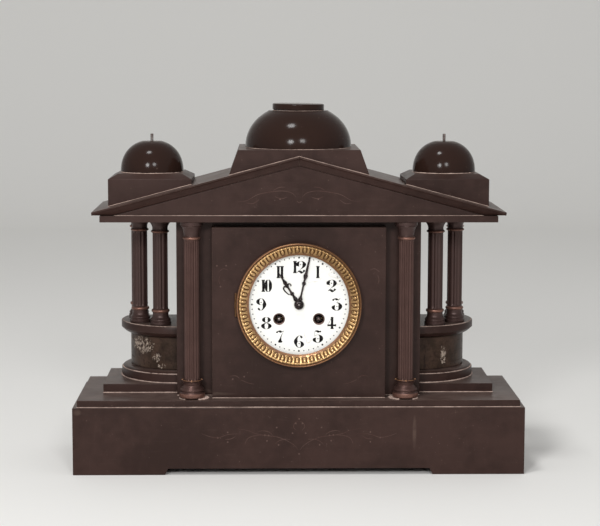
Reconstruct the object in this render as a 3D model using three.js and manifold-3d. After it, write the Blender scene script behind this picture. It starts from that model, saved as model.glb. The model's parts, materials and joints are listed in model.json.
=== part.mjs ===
// A black slate mantel clock built like a small temple: a pediment on two fluted front columns,
// and at each side a round-fronted pedestal with three small columns. Inside is a spring movement
// with pendulum and bell.
// Millimetres throughout. X runs right, Y runs back and Z runs up from the surface that it stands on.
// Profiles are [radius, place along the axis], outlines are [across, up].

import * as THREE from "three";
import { mergeVertices } from "three/addons/utils/BufferGeometryUtils.js";
import Module from "manifold-3d";

const wasm = await Module();
wasm.setup();

// Fits that all pieces share
const bed = 0.3; // plaster bed between two stones, and the air between two seated metal faces
const air = 0.6; // between a moving piece and its neighbour
const overrun = 4; // how far a cutter runs past the face that it cuts
const weld = 0.0001; // points closer than this are one point

// The stones of the case. A setback is counted from the plinth's front face.
const plinth = { width: 454, depth: 145, height: 68.2, wall: 18, top: 15 };
const recess = { width: 269, height: 6.4, slant: 3 };
const slab = { width: 445.2, setback: 4.1, depth: 136.4, height: 6.4 };
const step = { width: 400, setback: 48.3, depth: 91.7, height: 8.7 };
const body = { width: 247.2, setback: 33.8, wall: 12, back: 140, height: 179.2 };
const panel = { width: 174.6, setback: 19, clearance: 6 };
const bore = { front: 56, back: 50, raise: 8.85 }; // radii, and how far the dial sits above the panel's middle

// One pedestal: a round plan about an axis beside the body, cut off at the body and at the back
const apse = { offset: 0.4, axisSetback: 113, radius: 61.5, drumRadius: 51.7 };
const pedestalBase = { band: 8.5, height: 11.6, roll: 9.3 };
const pedestalDrum = { height: 33.4 };
const pedestalCap = { ovolo: 5.2, height: 12.3, ovoloRadius: 60.3, arris: 0.8 };

// Columns. Widths of base and capital follow the shaft.
const smallColumn = { shaft: 7.5, base: 17, capital: 15.5, ring: 46, flutes: 10, flute: 0.8 };
const smallColumnPlaces = { front: 67, outer: 29, back: -17 }; // degrees round from the outer side
const largeColumn = { shaft: 7.4, base: 22.5, capital: 18, across: 107.8, setback: 20.4, flutes: 16, flute: 0.9 };

// The top. A block's height is counted from the foot of the roof.
const architrave = { width: 396.4, setback: 8, depth: 128, height: 6.4 };
const roof = { tip: 206, setback: 5, depth: 128, rise: 55.1, tipFace: 3.4, thickness: 9 };
const gable = { front: 12, back: 118, thickness: 12 };
const cornerBlock = { width: 83.6, across: 149.4, setback: 28.2, height: 34.7, bevel: 5, bevelRun: 9.4 };
const sideDome = { radius: 32, height: 32.1, fullness: 2.1 };
const finialPin = { radius: 1.65, length: 14.4, seat: 8 };
const domeBlock = { topWidth: 121.8, topDepth: 113, setback: 13.5, height: 65, splayShare: 0.36, skirt: 35 };
const centralDome = { radius: 54.1, height: 46.4, cut: 37, fullness: 2 };
const domeCap = { radius: 26.3, height: 7, arris: 0.7 };

// The brasswork at the front. Setbacks are counted as those of the stones are.
const seat = { radius: 61.9, face: 17.4, drumRadius: 55.4, drumWall: 1.4, drumBack: 27.5, web: 1.5, webInner: 40 };
const dial = { radius: 51.6, thickness: 1, hub: 3.7, keyHole: 5.4, ledge: 2.6 };
const bezel = { radius: 62.8, root: 60.9, front: 7.6, sight: 50.2 };
const glass = { radius: 51.2, thickness: 1.4, rise: 7, back: 3 };
const bezelHinge = { radius: 1.5, pin: 0.7, knuckle: 8, reach: 3.4, length: 24, behind: 0.6 };
const strap = { width: 10, thickness: 2, reach: 53.6, back: 124, foot: 10 };

// The movement. Its parts sit round the centre arbor: [across, up] from the dial's centre.
const plate = { radius: 46, thickness: 2, gapBetween: 36.2, pillar: 2.8, pillarRing: 41 };
const pillarAngles = [50, 130, 188, 352];
const arbor = { radius: 1.2, slim: 0.72, pivot: 0.6, hole: 0.95 };
const key = { across: 20, down: 14.8, square: 4.2, arbor: 2.4, hole: 2.8 };
const barrel = { radius: 17, length: 22.4, module: 0.78, gear: 2.5, bore: 2.8 };
const train = { barrelTeeth: 48, intermediateLeaves: 8, intermediateTeeth: 48, centreLeaves: 8, centreTeeth: 72,
  thirdLeaves: 6, thirdTeeth: 72, escapeLeaves: 6, escapeTeeth: 38, cannonLeaves: 8, minuteTeeth: 24, minuteLeaves: 6,
  hourTeeth: 24 };
const wheel = { thickness: 1.5, hub: 3.4, rim: 2.2, arm: 1.9 };
const intermediateTurn = 95; // degrees, from the going barrel to the intermediate arbor
const thirdPlace = { turn: 120, module: 0.42 };
const escapePlace = { module: 0.36, radius: 9, depth: 1.7, leanShare: 0.3 };
const palletPlace = { above: 12.7, lift: 1, nib: 1.3, hub: 2.3, arm: 1.1, thickness: 2 };
const motionWork = { module: 0.675, turn: 200, thickness: 1.2 };
const pipe = { cannonInner: 1.45, cannonOuter: 2, hourInner: 2.35, hourOuter: 3.1 };
const centreNose = { radius: 0.9, point: 13.4 };

// Hands, as they stand on the dial: degrees clockwise from the top
const hourHand = { length: 37, angle: -32.5, above: 0.9, thickness: 0.5 };
const minuteHand = { length: 49.4, angle: 12.75, above: 2, thickness: 0.5, boss: 4.9, bossRise: 3 };

// Pendulum, bell and hammer
const pendulum = { above: 3.3, rod: 1.1, bob: 14, bobThickness: 8, setback: 74.4, grip: 3 };
const suspension = { width: 3, thickness: 0.9, length: 9 };
const crutch = { length: 26, width: 2.4, thickness: 1.2, fork: 1, forkGap: 0.5 };
const cock = { width: 11, thickness: 2.4, jaw: 3, overhang: 8 };
const bell = { radius: 36, depth: 20, wall: 2, mouth: 82, crownHole: 1.9 };
const bellArm = { turn: -50, width: 5, thickness: 1.8, ring: 43.4, stud: 1.4 };
const hammer = { across: 38, up: 10, lean: 190, head: 3.2, headLength: 9, strike: 2.2 };

// The brasswork at the back
const rearRing = { radius: 56, thickness: 1.6, spigot: 49.4, spigotWall: 1.5, spigotDepth: 6.3, screw: 1.8, lug: 2 };
const rearDoor = { radius: 54.4, thickness: 1, dish: 1.3, dishRadius: 42, rim: 1.6, knob: 2.6 };
const rearHinge = { radius: 1.1, reach: 57.4, length: 20, knuckle: 7 };

// How finely round forms are cut
const facets = { bezel: 40, large: 24, medium: 20, bell: 16, drum: 26, small: 10, tiny: 6, bead: 3, column: 10, curve: 6 };

// Heights worked out from the stones, bottom up
const slabTop = plinth.height + bed + slab.height;
const stepTop = slabTop + bed + step.height;
const drumBottom = stepTop + bed + pedestalBase.height + bed;
const capBottom = drumBottom + pedestalDrum.height + bed;
const capTop = capBottom + pedestalCap.height;
const architraveBottom = slabTop + body.height;
const architraveTop = architraveBottom + architrave.height;
const roofBottom = architraveTop + bed;
const roofTip = roofBottom + roof.tipFace;
const ridge = roofTip + roof.rise;
const roofSlope = roof.rise / roof.tip;
const panelTop = architraveBottom - panel.clearance;
const dialHeight = (slabTop + bed + panelTop) / 2 + bore.raise;
const cornerBlockTop = roofBottom + cornerBlock.height;
const domeBlockTop = roofBottom + domeBlock.height;

// Setbacks worked out from the front backwards
const dialFace = seat.face + bed;
const frontPlateFace = seat.drumBack + bed;
const insideFront = frontPlateFace + plate.thickness;
const insideBack = insideFront + plate.gapBetween;
const backPlateRear = insideBack + plate.thickness;
const backWallFace = body.back - body.wall;

// Places of the arbors round the centre arbor
const fullTurn = 360;
const halfTurn = fullTurn / 2;
const quarterTurn = fullTurn / 4;
const degrees = Math.PI / halfTurn;
const going = [key.across, -key.down];
const striking = [-key.across, -key.down];
const intermediate = stepFrom(going, barrel.module * (train.barrelTeeth + train.intermediateLeaves) / 2, intermediateTurn);
const intermediateModule = 2 * Math.hypot(...intermediate) / (train.intermediateTeeth + train.centreLeaves);
const third = stepFrom([0, 0], thirdPlace.module * (train.centreTeeth + train.thirdLeaves) / 2, thirdPlace.turn);
const escapeReach = escapePlace.module * (train.thirdTeeth + train.escapeLeaves) / 2;
const escape = [0, third[1] + Math.sqrt(escapeReach ** 2 - third[0] ** 2)];
const pallet = [0, escape[1] + palletPlace.above];
const minuteReach = motionWork.module * (train.cannonLeaves + train.minuteTeeth) / 2;
const minuteArbor = stepFrom([0, 0], minuteReach, motionWork.turn);
const hourModule = 2 * minuteReach / (train.minuteLeaves + train.hourTeeth);
const hammerArbor = [-hammer.across, hammer.up];

// A place at a distance from another, in a direction given in degrees
function stepFrom(place, distance, turn) {
  const angle = turn * degrees;
  return [place[0] + distance * Math.cos(angle), place[1] + distance * Math.sin(angle)];
}

// The direction from one place to another, in degrees
function bearing(from, to) {
  return Math.atan2(to[1] - from[1], to[0] - from[0]) / degrees;
}

// Closed solids and their geometry

function bareGeometry(geometry) {
  const bare = geometry.clone();
  bare.deleteAttribute("normal");
  bare.deleteAttribute("uv");
  return mergeVertices(bare, weld);
}

// Drops triangles that closed up to a line, and turns the faces outwards
function closedGeometry(geometry) {
  const merged = bareGeometry(geometry);
  const place = merged.getAttribute("position");
  const kept = [];
  let volume = 0;
  const corners = [new THREE.Vector3(), new THREE.Vector3(), new THREE.Vector3()];
  for (let i = 0; i < merged.index.count; i += 3) {
    const triangle = [merged.index.getX(i), merged.index.getX(i + 1), merged.index.getX(i + 2)];
    if (new Set(triangle).size < 3) continue;
    corners.forEach((corner, n) => corner.fromBufferAttribute(place, triangle[n]));
    volume += corners[0].dot(new THREE.Vector3().crossVectors(corners[1], corners[2]));
    kept.push(triangle);
  }
  if (volume < 0) kept.forEach((triangle) => triangle.reverse());
  merged.setIndex(kept.flat());
  return merged;
}

function toSolid(geometry) {
  const closed = closedGeometry(geometry);
  return new wasm.Manifold(new wasm.Mesh({
    numProp: 3,
    vertProperties: new Float32Array(closed.getAttribute("position").array),
    triVerts: new Uint32Array(closed.index.array),
  }));
}

function toGeometry(solid) {
  const mesh = solid.getMesh();
  const geometry = new THREE.BufferGeometry();
  geometry.setAttribute("position", new THREE.BufferAttribute(new Float32Array(mesh.vertProperties), 3));
  geometry.setIndex(new THREE.BufferAttribute(new Uint32Array(mesh.triVerts), 1));
  return geometry;
}

function joined(...geometries) {
  return toGeometry(geometries.map(toSolid).reduce((whole, piece) => whole.add(piece)));
}

function cut(geometry, ...cutters) {
  return toGeometry(cutters.map(toSolid).reduce((whole, cutter) => whole.subtract(cutter), toSolid(geometry)));
}

function common(geometry, other) {
  return toGeometry(toSolid(geometry).intersect(toSolid(other)));
}

// Basic forms

function outline(points, holes = []) {
  const shape = new THREE.Shape(points.map(([x, y]) => new THREE.Vector2(x, y)));
  shape.holes = holes.map((hole) => new THREE.Path(hole.map(([x, y]) => new THREE.Vector2(x, y))));
  return shape;
}

function circle(radius, sides, centre = [0, 0], turn = 0) {
  return Array.from({ length: sides }, (_, i) => stepFrom(centre, radius, turn + fullTurn * i / sides));
}

// A slab whose outline is seen from the front and which runs from one setback to another
function standing(points, front, back, holes = []) {
  const geometry = new THREE.ExtrudeGeometry(outline(points, holes), { depth: back - front, bevelEnabled: false });
  return geometry.rotateX(quarterTurn * degrees).translate(0, back, 0);
}

// A slab whose outline is its plan
function lying(points, bottom, top) {
  const geometry = new THREE.ExtrudeGeometry(outline(points), { depth: top - bottom, bevelEnabled: false });
  return geometry.translate(0, 0, bottom);
}

function box([left, right], [front, back], [bottom, top]) {
  const geometry = new THREE.BoxGeometry(right - left, back - front, top - bottom);
  return geometry.translate((left + right) / 2, (front + back) / 2, (bottom + top) / 2);
}

// Turned about an axis that runs back, as the arbors do
function turnedBack(profile, sides) {
  return new THREE.LatheGeometry(profile.map(([r, y]) => new THREE.Vector2(r, y)), sides);
}

// Turned about an upright axis
function turned(profile, sides) {
  return turnedBack(profile, sides).rotateX(quarterTurn * degrees);
}

function rod(radius, front, back, sides = facets.tiny, centre = [0, 0]) {
  const profile = [[0, front], [radius, front], [radius, back], [0, back]];
  return turnedBack(profile, sides).translate(centre[0], 0, centre[1]);
}

function post(radius, bottom, top, sides = facets.tiny) {
  return turned([[0, bottom], [radius, bottom], [radius, top], [0, top]], sides);
}

function ringOf(profile) {
  return [...profile, profile[0]];
}

// Rows of shares turned into a profile: each row is [share of the radius, share of the height]
function fromShares(shares, radius, height, bottom) {
  return shares.map(([out, up]) => [out * radius, bottom + up * height]);
}

// Stones of the case

function plinthStone() {
  const half = plinth.width / 2;
  const mouth = recess.width / 2;
  const front = [
    [-half, 0], [-mouth, 0], [-mouth + recess.slant, recess.height], [mouth - recess.slant, recess.height],
    [mouth, 0], [half, 0], [half, plinth.height], [-half, plinth.height],
  ];
  const inside = half - plinth.wall;
  const hollow = box([-inside, inside], [plinth.wall, plinth.depth - plinth.wall],
    [-overrun, plinth.height - plinth.top]);
  return cut(standing(front, 0, plinth.depth), hollow);
}

function slabStone({ width, setback, depth, height }, bottom) {
  return box([-width / 2, width / 2], [setback, setback + depth], [bottom, bottom + height]);
}

function rectangle(halfWidth, bottom, top) {
  return [[-halfWidth, bottom], [halfWidth, bottom], [halfWidth, top], [-halfWidth, top]];
}

function frontWall() {
  const hole = circle(bore.front, facets.large, [0, dialHeight]);
  const face = rectangle(body.width / 2, slabTop + bed, architraveBottom - bed);
  return standing(face, body.setback, body.setback + body.wall, [hole]);
}

function dialPanel() {
  const hole = circle(bore.front, facets.large, [0, dialHeight]);
  const face = rectangle(panel.width / 2, slabTop + bed, panelTop);
  return standing(face, panel.setback, body.setback - bed, [hole]);
}

function backWall() {
  const hole = circle(bore.back, facets.large, [0, dialHeight]);
  const face = rectangle(body.width / 2, stepTop + bed, architraveBottom - bed);
  return standing(face, backWallFace, body.back, [hole]);
}

function sideWall(side) {
  const outer = side * body.width / 2;
  const inner = side * (body.width / 2 - body.wall);
  const across = [Math.min(outer, inner), Math.max(outer, inner)];
  const along = [body.setback + body.wall + bed, backWallFace - bed];
  return box(across, along, [stepTop + bed, architraveBottom - bed]);
}

// Apse pedestals, modelled about their own upright axis with the outer side at +X

function apseCut(profile, side) {
  const reach = apse.radius + overrun;
  const keep = box([-apse.offset + bed, reach], [-reach, body.back - apse.axisSetback],
    [-overrun, architraveBottom]);
  const half = common(turned(profile, facets.drum), keep);
  return side > 0 ? half : half.applyMatrix4(new THREE.Matrix4().makeScale(-1, 1, 1));
}

function pedestalBaseStone(side) {
  const bottom = stepTop + bed;
  const rollBottom = bottom + pedestalBase.band;
  const rollHeight = pedestalBase.height - pedestalBase.band;
  const rollShares = [[0.22, 0.55], [0.6, 0.88], [1, 1]];
  const roll = rollShares.map(([inward, up]) => [apse.radius - inward * pedestalBase.roll, rollBottom + up * rollHeight]);
  return apseCut([[0, bottom], [apse.radius, bottom], [apse.radius, rollBottom], ...roll,
    [0, bottom + pedestalBase.height]], side);
}

function pedestalDrumStone(side) {
  const top = drumBottom + pedestalDrum.height;
  return apseCut([[0, drumBottom], [apse.drumRadius, drumBottom], [apse.drumRadius, top], [0, top]], side);
}

function pedestalCapStone(side) {
  const span = pedestalCap.ovoloRadius - apse.drumRadius;
  const ovoloShares = [[0.1, 0], [0.5, 0.18], [0.82, 0.5], [1, 1]];
  const ovolo = ovoloShares.map(([out, up]) => [apse.drumRadius + out * span, capBottom + up * pedestalCap.ovolo]);
  const edge = apse.radius - pedestalCap.arris;
  return apseCut([[0, capBottom], ...ovolo, [apse.radius, capBottom + pedestalCap.ovolo],
    [apse.radius, capTop - pedestalCap.arris], [edge, capTop], [0, capTop]], side);
}

// Columns

// The plan of a fluted shaft: a flat fillet between each two hollow flutes
function flutedPlan({ shaft, flutes, flute }) {
  const pitch = fullTurn / flutes;
  const fluteShares = [[-0.12, 1], [0.12, 1], [0.5, 0]];
  const points = [];
  for (let i = 0; i < flutes; i += 1) {
    fluteShares.forEach(([along, full]) => {
      points.push(stepFrom([0, 0], shaft - flute * (1 - full), (i + along) * pitch));
    });
  }
  return points;
}

const smallBaseShares = [[1.44, 0], [1.44, 0.2], [1.34, 0.36], [1.13, 0.52], [1.1, 0.76], [1.24, 0.84], [1.24, 0.96]];
const smallCapitalShares = [[1.24, 0.04], [1.24, 0.14], [1.08, 0.22], [1.1, 0.6], [1.34, 0.84], [1.34, 1]];
const largeBaseShares = [[1.76, 0], [1.76, 0.25], [1.6, 0.3], [1.7, 0.4], [1.58, 0.52], [1.24, 0.6], [1.2, 0.74],
  [1.36, 0.92], [1.04, 1]];
const largeCapitalShares = [[1.18, 0.03], [1.18, 0.13], [1.05, 0.2], [1.1, 0.45], [1.36, 0.72], [1.56, 0.82],
  [1.56, 1]];

function column(size, bottom, top, baseShares, capitalShares) {
  const base = fromShares(baseShares, size.shaft, size.base, bottom);
  const capital = fromShares(capitalShares, size.shaft, size.capital, top - size.capital);
  const inBase = bottom + size.base / 2;
  const inCapital = top - size.capital / 2;
  return joined(
    turned([[0, bottom], ...base, [0, bottom + size.base]], facets.column),
    lying(flutedPlan(size), inBase, inCapital),
    turned([[0, top - size.capital], ...capital, [0, top]], facets.column),
  );
}

function smallColumnPiece() {
  return column(smallColumn, capTop + bed, architraveBottom - bed, smallBaseShares, smallCapitalShares);
}

function largeColumnPiece() {
  return column(largeColumn, slabTop + bed, architraveBottom - bed, largeBaseShares, largeCapitalShares);
}

// The top

function architraveStone() {
  return slabStone(architrave, architraveBottom);
}

// The height of the roof's upper face at a distance from the ridge
function roofTopAt(across) {
  return ridge - roofSlope * Math.abs(across);
}

function gableStone(setback) {
  const apex = ridge - roof.thickness - bed;
  const reach = (apex - roofBottom) / roofSlope;
  return standing([[-reach, roofBottom], [reach, roofBottom], [0, apex]], setback, setback + gable.thickness);
}

function roofSlab(side) {
  const under = ridge - roof.thickness;
  const heel = (under - roofBottom) / roofSlope;
  const joint = bed / 2;
  const points = [[joint, roofTopAt(joint)], [roof.tip, roofTip], [roof.tip, roofBottom], [heel, roofBottom],
    [joint, under - roofSlope * joint]];
  return standing(points.map(([x, z]) => [side * x, z]), roof.setback, roof.setback + roof.depth);
}

// What the roof takes away from a block that stands on it
function roofCutter(reach) {
  const far = reach + overrun;
  const points = [[-far, roofBottom], [far, roofBottom], [far, roofTopAt(far) + bed], [0, ridge + bed], [-far, roofTopAt(far) + bed]];
  return standing(points, roof.setback - overrun, roof.setback + roof.depth + overrun);
}

// A block with its top narrower than its foot
function taperedBlock([halfWidth, halfDepth], [topHalfWidth, topHalfDepth], bottom, top) {
  const geometry = new THREE.BoxGeometry(2 * halfWidth, 2 * halfDepth, top - bottom);
  const place = geometry.getAttribute("position");
  for (let i = 0; i < place.count; i += 1) {
    if (place.getZ(i) > 0) {
      place.setX(i, Math.sign(place.getX(i)) * topHalfWidth);
      place.setY(i, Math.sign(place.getY(i)) * topHalfDepth);
    }
  }
  return geometry.translate(0, 0, (bottom + top) / 2);
}

function cornerBlockStone(side) {
  const half = cornerBlock.width / 2;
  const top = half - cornerBlock.bevelRun;
  const foot = roofTopAt(cornerBlock.across + half) - overrun;
  const centre = cornerBlock.setback + half;
  const lower = taperedBlock([half, half], [half, half], foot, cornerBlockTop);
  const upper = taperedBlock([half, half], [top, top], cornerBlockTop, cornerBlockTop + cornerBlock.bevel);
  const block = joined(lower, upper).translate(side * cornerBlock.across, centre, 0);
  return cut(block, roofCutter(cornerBlock.across + half));
}

// A dome, round in plan and a full curve in section. A socket in its crown holds a pin.
function domeProfile({ radius, height, fullness, cut: flat = height }, bottom, socket = null) {
  const points = [[0, bottom], [radius, bottom]];
  const last = Math.asin((flat / height) ** (fullness / 2));
  for (let i = 1; i <= facets.curve; i += 1) {
    const angle = last * i / facets.curve;
    const out = radius * Math.cos(angle) ** (2 / fullness);
    points.push([out, bottom + height * Math.sin(angle) ** (2 / fullness)]);
  }
  if (!socket) return flat < height ? [...points, [0, bottom + flat]] : points;
  const crown = bottom + height;
  const rim = [socket.radius + bed, crown];
  return [...points.slice(0, -1), rim, [socket.radius + bed, crown - socket.seat - bed], [0, crown - socket.seat - bed]];
}

const sideDomeBottom = cornerBlockTop + cornerBlock.bevel + bed;

function sideDomePiece() {
  return turned(domeProfile(sideDome, sideDomeBottom, finialPin), facets.medium);
}

function finialPinPiece() {
  const foot = sideDomeBottom + sideDome.height - finialPin.seat;
  return post(finialPin.radius, foot, foot + finialPin.length, facets.tiny);
}

function domeBlockStone() {
  const half = [domeBlock.topWidth / 2, domeBlock.topDepth / 2];
  const splay = domeBlock.skirt * domeBlock.splayShare;
  const foot = domeBlockTop - domeBlock.skirt;
  const block = taperedBlock([half[0] + splay, half[1]], half, foot, domeBlockTop);
  return cut(block.translate(0, domeBlock.setback + half[1], 0), roofCutter(half[0] + splay));
}

const centralDomeBottom = domeBlockTop + bed;

function centralDomePiece() {
  return turned(domeProfile(centralDome, centralDomeBottom), facets.medium);
}

function domeCapPiece() {
  const bottom = centralDomeBottom + centralDome.cut + bed;
  const top = bottom + domeCap.height;
  const edge = domeCap.radius - domeCap.arris;
  return turned([[0, bottom], [edge, bottom], [domeCap.radius, bottom + domeCap.arris],
    [domeCap.radius, top - domeCap.arris], [edge, top], [0, top]], facets.medium);
}

// Brasswork at the front, round the dial's centre

function seatRing() {
  const flangeBack = panel.setback - bed;
  const inner = seat.drumRadius - seat.drumWall;
  const rebate = dial.radius + bed;
  const ledge = dial.radius - dial.ledge;
  const webFront = seat.drumBack - seat.web;
  const ledgeFront = dialFace + dial.thickness + bed;
  const ledgeRear = ledgeFront + dial.thickness;
  return turnedBack(ringOf([
    [seat.radius, seat.face], [seat.radius, flangeBack], [seat.drumRadius, flangeBack], [seat.drumRadius, seat.drumBack],
    [seat.webInner, seat.drumBack], [seat.webInner, webFront], [inner, webFront], [inner, ledgeRear],
    [ledge, ledgeRear], [ledge, ledgeFront], [rebate, ledgeFront], [rebate, seat.face],
  ]), facets.large);
}

// The two straps run back from the drum, and turn in to a foot for the rear ring's screws
function strapPiece(side) {
  const outer = side * strap.reach;
  const inner = side * (strap.reach - strap.thickness);
  const foot = side * (strap.reach - strap.foot);
  const up = [-strap.width / 2, strap.width / 2];
  const bar = box(sorted(inner, outer), [seat.drumBack - seat.web, strap.back], up);
  const turnIn = box(sorted(foot, outer), [strap.back - strap.thickness, strap.back], up);
  return [bar, turnIn];
}

function sorted(a, b) {
  return [Math.min(a, b), Math.max(a, b)];
}

const bezelAxis = [-(bezel.radius + bezelHinge.behind), seat.face - bezelHinge.radius - bed];

function bezelKnuckle(bottom, top, radius = bezelHinge.radius) {
  return post(radius, bottom, top, facets.tiny).translate(bezelAxis[0], bezelAxis[1], 0);
}

function bezelSeat() {
  const half = bezelHinge.knuckle / 2 - bed;
  const leaf = box([bezelAxis[0], bezelAxis[0] + bezelHinge.reach + bezelHinge.radius],
    [seat.face, panel.setback - bed], [-half, half]);
  const tab = box([bezelAxis[0] - bezelHinge.pin, bezelAxis[0] + bezelHinge.pin],
    [bezelAxis[1], panel.setback - bed], [-half, half]);
  const whole = joined(seatRing(), ...strapPiece(-1), ...strapPiece(1), leaf, tab, bezelKnuckle(-half, half));
  return cut(whole, bezelKnuckle(-bezelHinge.knuckle, bezelHinge.knuckle, bezelHinge.pin + bed));
}

// The hinged bezel: an undercut lip, a groove, a ring of eggs that slopes in, and a plain sight edge
function bezelRing() {
  const height = seat.face - bed - bezel.front;
  const band = bezel.radius - bezel.sight;
  const profileShares = [[0.15, 0], [0.15, 0.55], [0, 0.85], [0.1, 1], [0.23, 0.86], [0.6, 0.83], [0.92, 0.57],
    [1, 0.47]];
  const rebate = glass.radius + bed;
  const profile = profileShares.map(([inward, up]) => [bezel.radius - inward * band, bezel.front + (1 - up) * height]);
  const glassFront = dialFace - glass.back - glass.thickness - bed;
  const whole = ringOf([...profile, [rebate, glassFront], [rebate, seat.face - bed]]);
  return turnedBack(whole, facets.bezel);
}

function bezelPiece() {
  const half = bezelHinge.length / 2;
  const inner = bezelHinge.knuckle / 2;
  const pieces = [bezelRing(), bezelKnuckle(-half, half, bezelHinge.pin)];
  [[-half, -inner], [inner, half]].forEach((span) => {
    const leafBack = seat.face - bed;
    pieces.push(bezelKnuckle(...span));
    pieces.push(box([bezelAxis[0], -bezel.root + bezelHinge.pin], [leafBack - bezelHinge.radius, leafBack], span));
  });
  return joined(...pieces);
}

// A thin watch glass: two equal curves, a thickness apart
function glassPiece() {
  const back = [];
  const front = [];
  const edge = dialFace - glass.back;
  for (let i = 0; i <= facets.bead; i += 1) {
    const share = i / facets.bead;
    const radius = glass.radius * share;
    const rise = glass.rise * (1 - share ** 2);
    back.push([radius, edge - rise]);
    front.unshift([radius, edge - glass.thickness - rise]);
  }
  return turnedBack([...back, ...front], facets.large);
}

function dialPiece() {
  const holes = [
    circle(dial.hub, facets.small),
    circle(dial.keyHole, facets.column, going),
    circle(dial.keyHole, facets.column, striking),
  ];
  return standing(circle(dial.radius, facets.large), dialFace, dialFace + dial.thickness, holes);
}

// Hands

// Half widths up the hand, as [share of the length, share of the boss radius]. The shapes are drawn
// pointing up, mirrored, and turned to the time.
const hourHandShares = [[0.17, 0.34], [0.24, 0.2], [0.29, 0.16], [0.32, 0.32], [0.36, 0.34], [0.4, 0.15], [0.58, 0.15],
  [0.62, 0.12], [0.7, 0.34], [0.78, 0.18], [1, 0.03]];
const minuteHandShares = [[0.1, 0.38], [0.2, 0.14], [0.4, 0.12], [0.44, 0.3], [0.48, 0.12], [0.54, 0.14], [0.61, 0.34],
  [0.69, 0.17], [0.98, 0.1], [1, 0.02]];

function handOutline(shares, length) {
  const right = shares.map(([up, out]) => [out * minuteHand.boss, up * length]);
  const left = right.map(([x, y]) => [-x, y]).reverse();
  const root = shares[0][1] * minuteHand.boss;
  return [[-root, 0], [root, 0], ...right, ...left];
}

function handBlade(shares, hand, front) {
  const blade = standing(handOutline(shares, hand.length), front, front + hand.thickness);
  return blade.rotateY(hand.angle * degrees);
}

// The scroll at the side of the hour hand, and the stub of the broken one
const scrollShares = [[0, 0.6], [-0.13, 0.6], [-0.16, 0.545], [-0.11, 0.43], [-0.08, 0.43], [-0.115, 0.535],
  [-0.1, 0.565], [0, 0.565]];
const stubShares = [[0, 0.565], [0.04, 0.62], [0.085, 0.62], [0.11, 0.56], [0.09, 0.555], [0.07, 0.59], [0.05, 0.59],
  [0, 0.54]];

function handScroll(shares, front) {
  const points = shares.map(([x, y]) => [x * hourHand.length, y * hourHand.length]);
  return standing(points, front, front + hourHand.thickness).rotateY(hourHand.angle * degrees);
}

function hourHandPiece() {
  const front = dialFace - hourHand.above - hourHand.thickness;
  const collet = turnedBack(ringOf([[pipe.hourOuter + bed, front], [minuteHand.boss, front],
    [minuteHand.boss, front + hourHand.thickness], [pipe.hourOuter + bed, front + hourHand.thickness]]), facets.column);
  const blade = handBlade(hourHandShares, hourHand, front);
  const bored = cut(blade, rod(pipe.hourOuter + air, front - overrun, front + overrun, facets.column));
  return joined(collet, bored, handScroll(scrollShares, front), handScroll(stubShares, front));
}

// The minute hand with its boss, on the cannon pinion that passes through the dial
function minuteHandPiece() {
  const front = dialFace - minuteHand.above - minuteHand.thickness;
  const bossFront = front - minuteHand.bossRise;
  const pinionBack = frontPlateFace - bed;
  const pinionFront = pinionBack - motionWork.thickness;
  const bossShares = [[0.35, 0], [0.7, 0.2], [0.94, 0.6], [1, 1]];
  const boss = bossShares.map(([out, back]) => [out * minuteHand.boss, bossFront + back * minuteHand.bossRise]);
  const cannon = turnedBack([[0, bossFront], ...boss, [minuteHand.boss, front + minuteHand.thickness],
    [pipe.cannonOuter, front + minuteHand.thickness], [pipe.cannonOuter, pinionBack],
    [pipe.cannonInner, pinionBack], [pipe.cannonInner, centreNose.point - bed], [0, centreNose.point - bed]],
  facets.small);
  const bore = rod((pipe.cannonInner + pipe.cannonOuter) / 2, front - overrun, front + overrun, facets.small);
  const toothed = gear(train.cannonLeaves, motionWork.module, bearing([0, 0], minuteArbor), pinionFront, pinionBack,
    circle(pipe.cannonOuter - bed / 2, facets.small, [0, 0], quarterTurn));
  return joined(cannon, cut(handBlade(minuteHandShares, minuteHand, front), bore), toothed);
}

// Toothed wheels

// A wheel's teeth come to a point, and a pinion's leaves are flat at the tip. Turn is the direction of
// one tooth, in degrees.
function toothOutline(count, module, turn) {
  const pitchRadius = count * module / 2;
  const pitch = fullTurn / count;
  const isPinion = count <= train.intermediateLeaves;
  const wheelShares = [[0, 0.75], [0.5, -0.95]];
  const leafShares = [[-0.09, 0.55], [0.09, 0.55], [0.2, -0.85], [0.8, -0.85]];
  const shares = isPinion ? leafShares : wheelShares;
  const points = [];
  for (let i = 0; i < count; i += 1) {
    shares.forEach(([along, out]) => points.push(stepFrom([0, 0], pitchRadius + out * module, turn + (i + along) * pitch)));
  }
  return points;
}

function gear(count, module, turn, front, back, hole = null) {
  return standing(toothOutline(count, module, turn), front, back, hole ? [hole] : []);
}

// The openings between the four arms of a train wheel
function armOpenings(count, module) {
  const outer = count * module / 2 - module - wheel.rim;
  const arms = 4;
  const openings = [];
  for (let i = 0; i < arms; i += 1) {
    const start = fullTurn * i / arms;
    const outerSlip = Math.asin(wheel.arm / 2 / outer) / degrees;
    const innerSlip = Math.asin(wheel.arm / 2 / wheel.hub) / degrees;
    const span = fullTurn / arms;
    openings.push([
      stepFrom([0, 0], wheel.hub, start + innerSlip),
      stepFrom([0, 0], outer, start + outerSlip),
      stepFrom([0, 0], outer, start + span / 2),
      stepFrom([0, 0], outer, start + span - outerSlip),
      stepFrom([0, 0], wheel.hub, start + span - innerSlip),
    ]);
  }
  return openings;
}

function trainWheel(count, module, turn, front) {
  return standing(toothOutline(count, module, turn), front, front + wheel.thickness, armOpenings(count, module));
}

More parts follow.
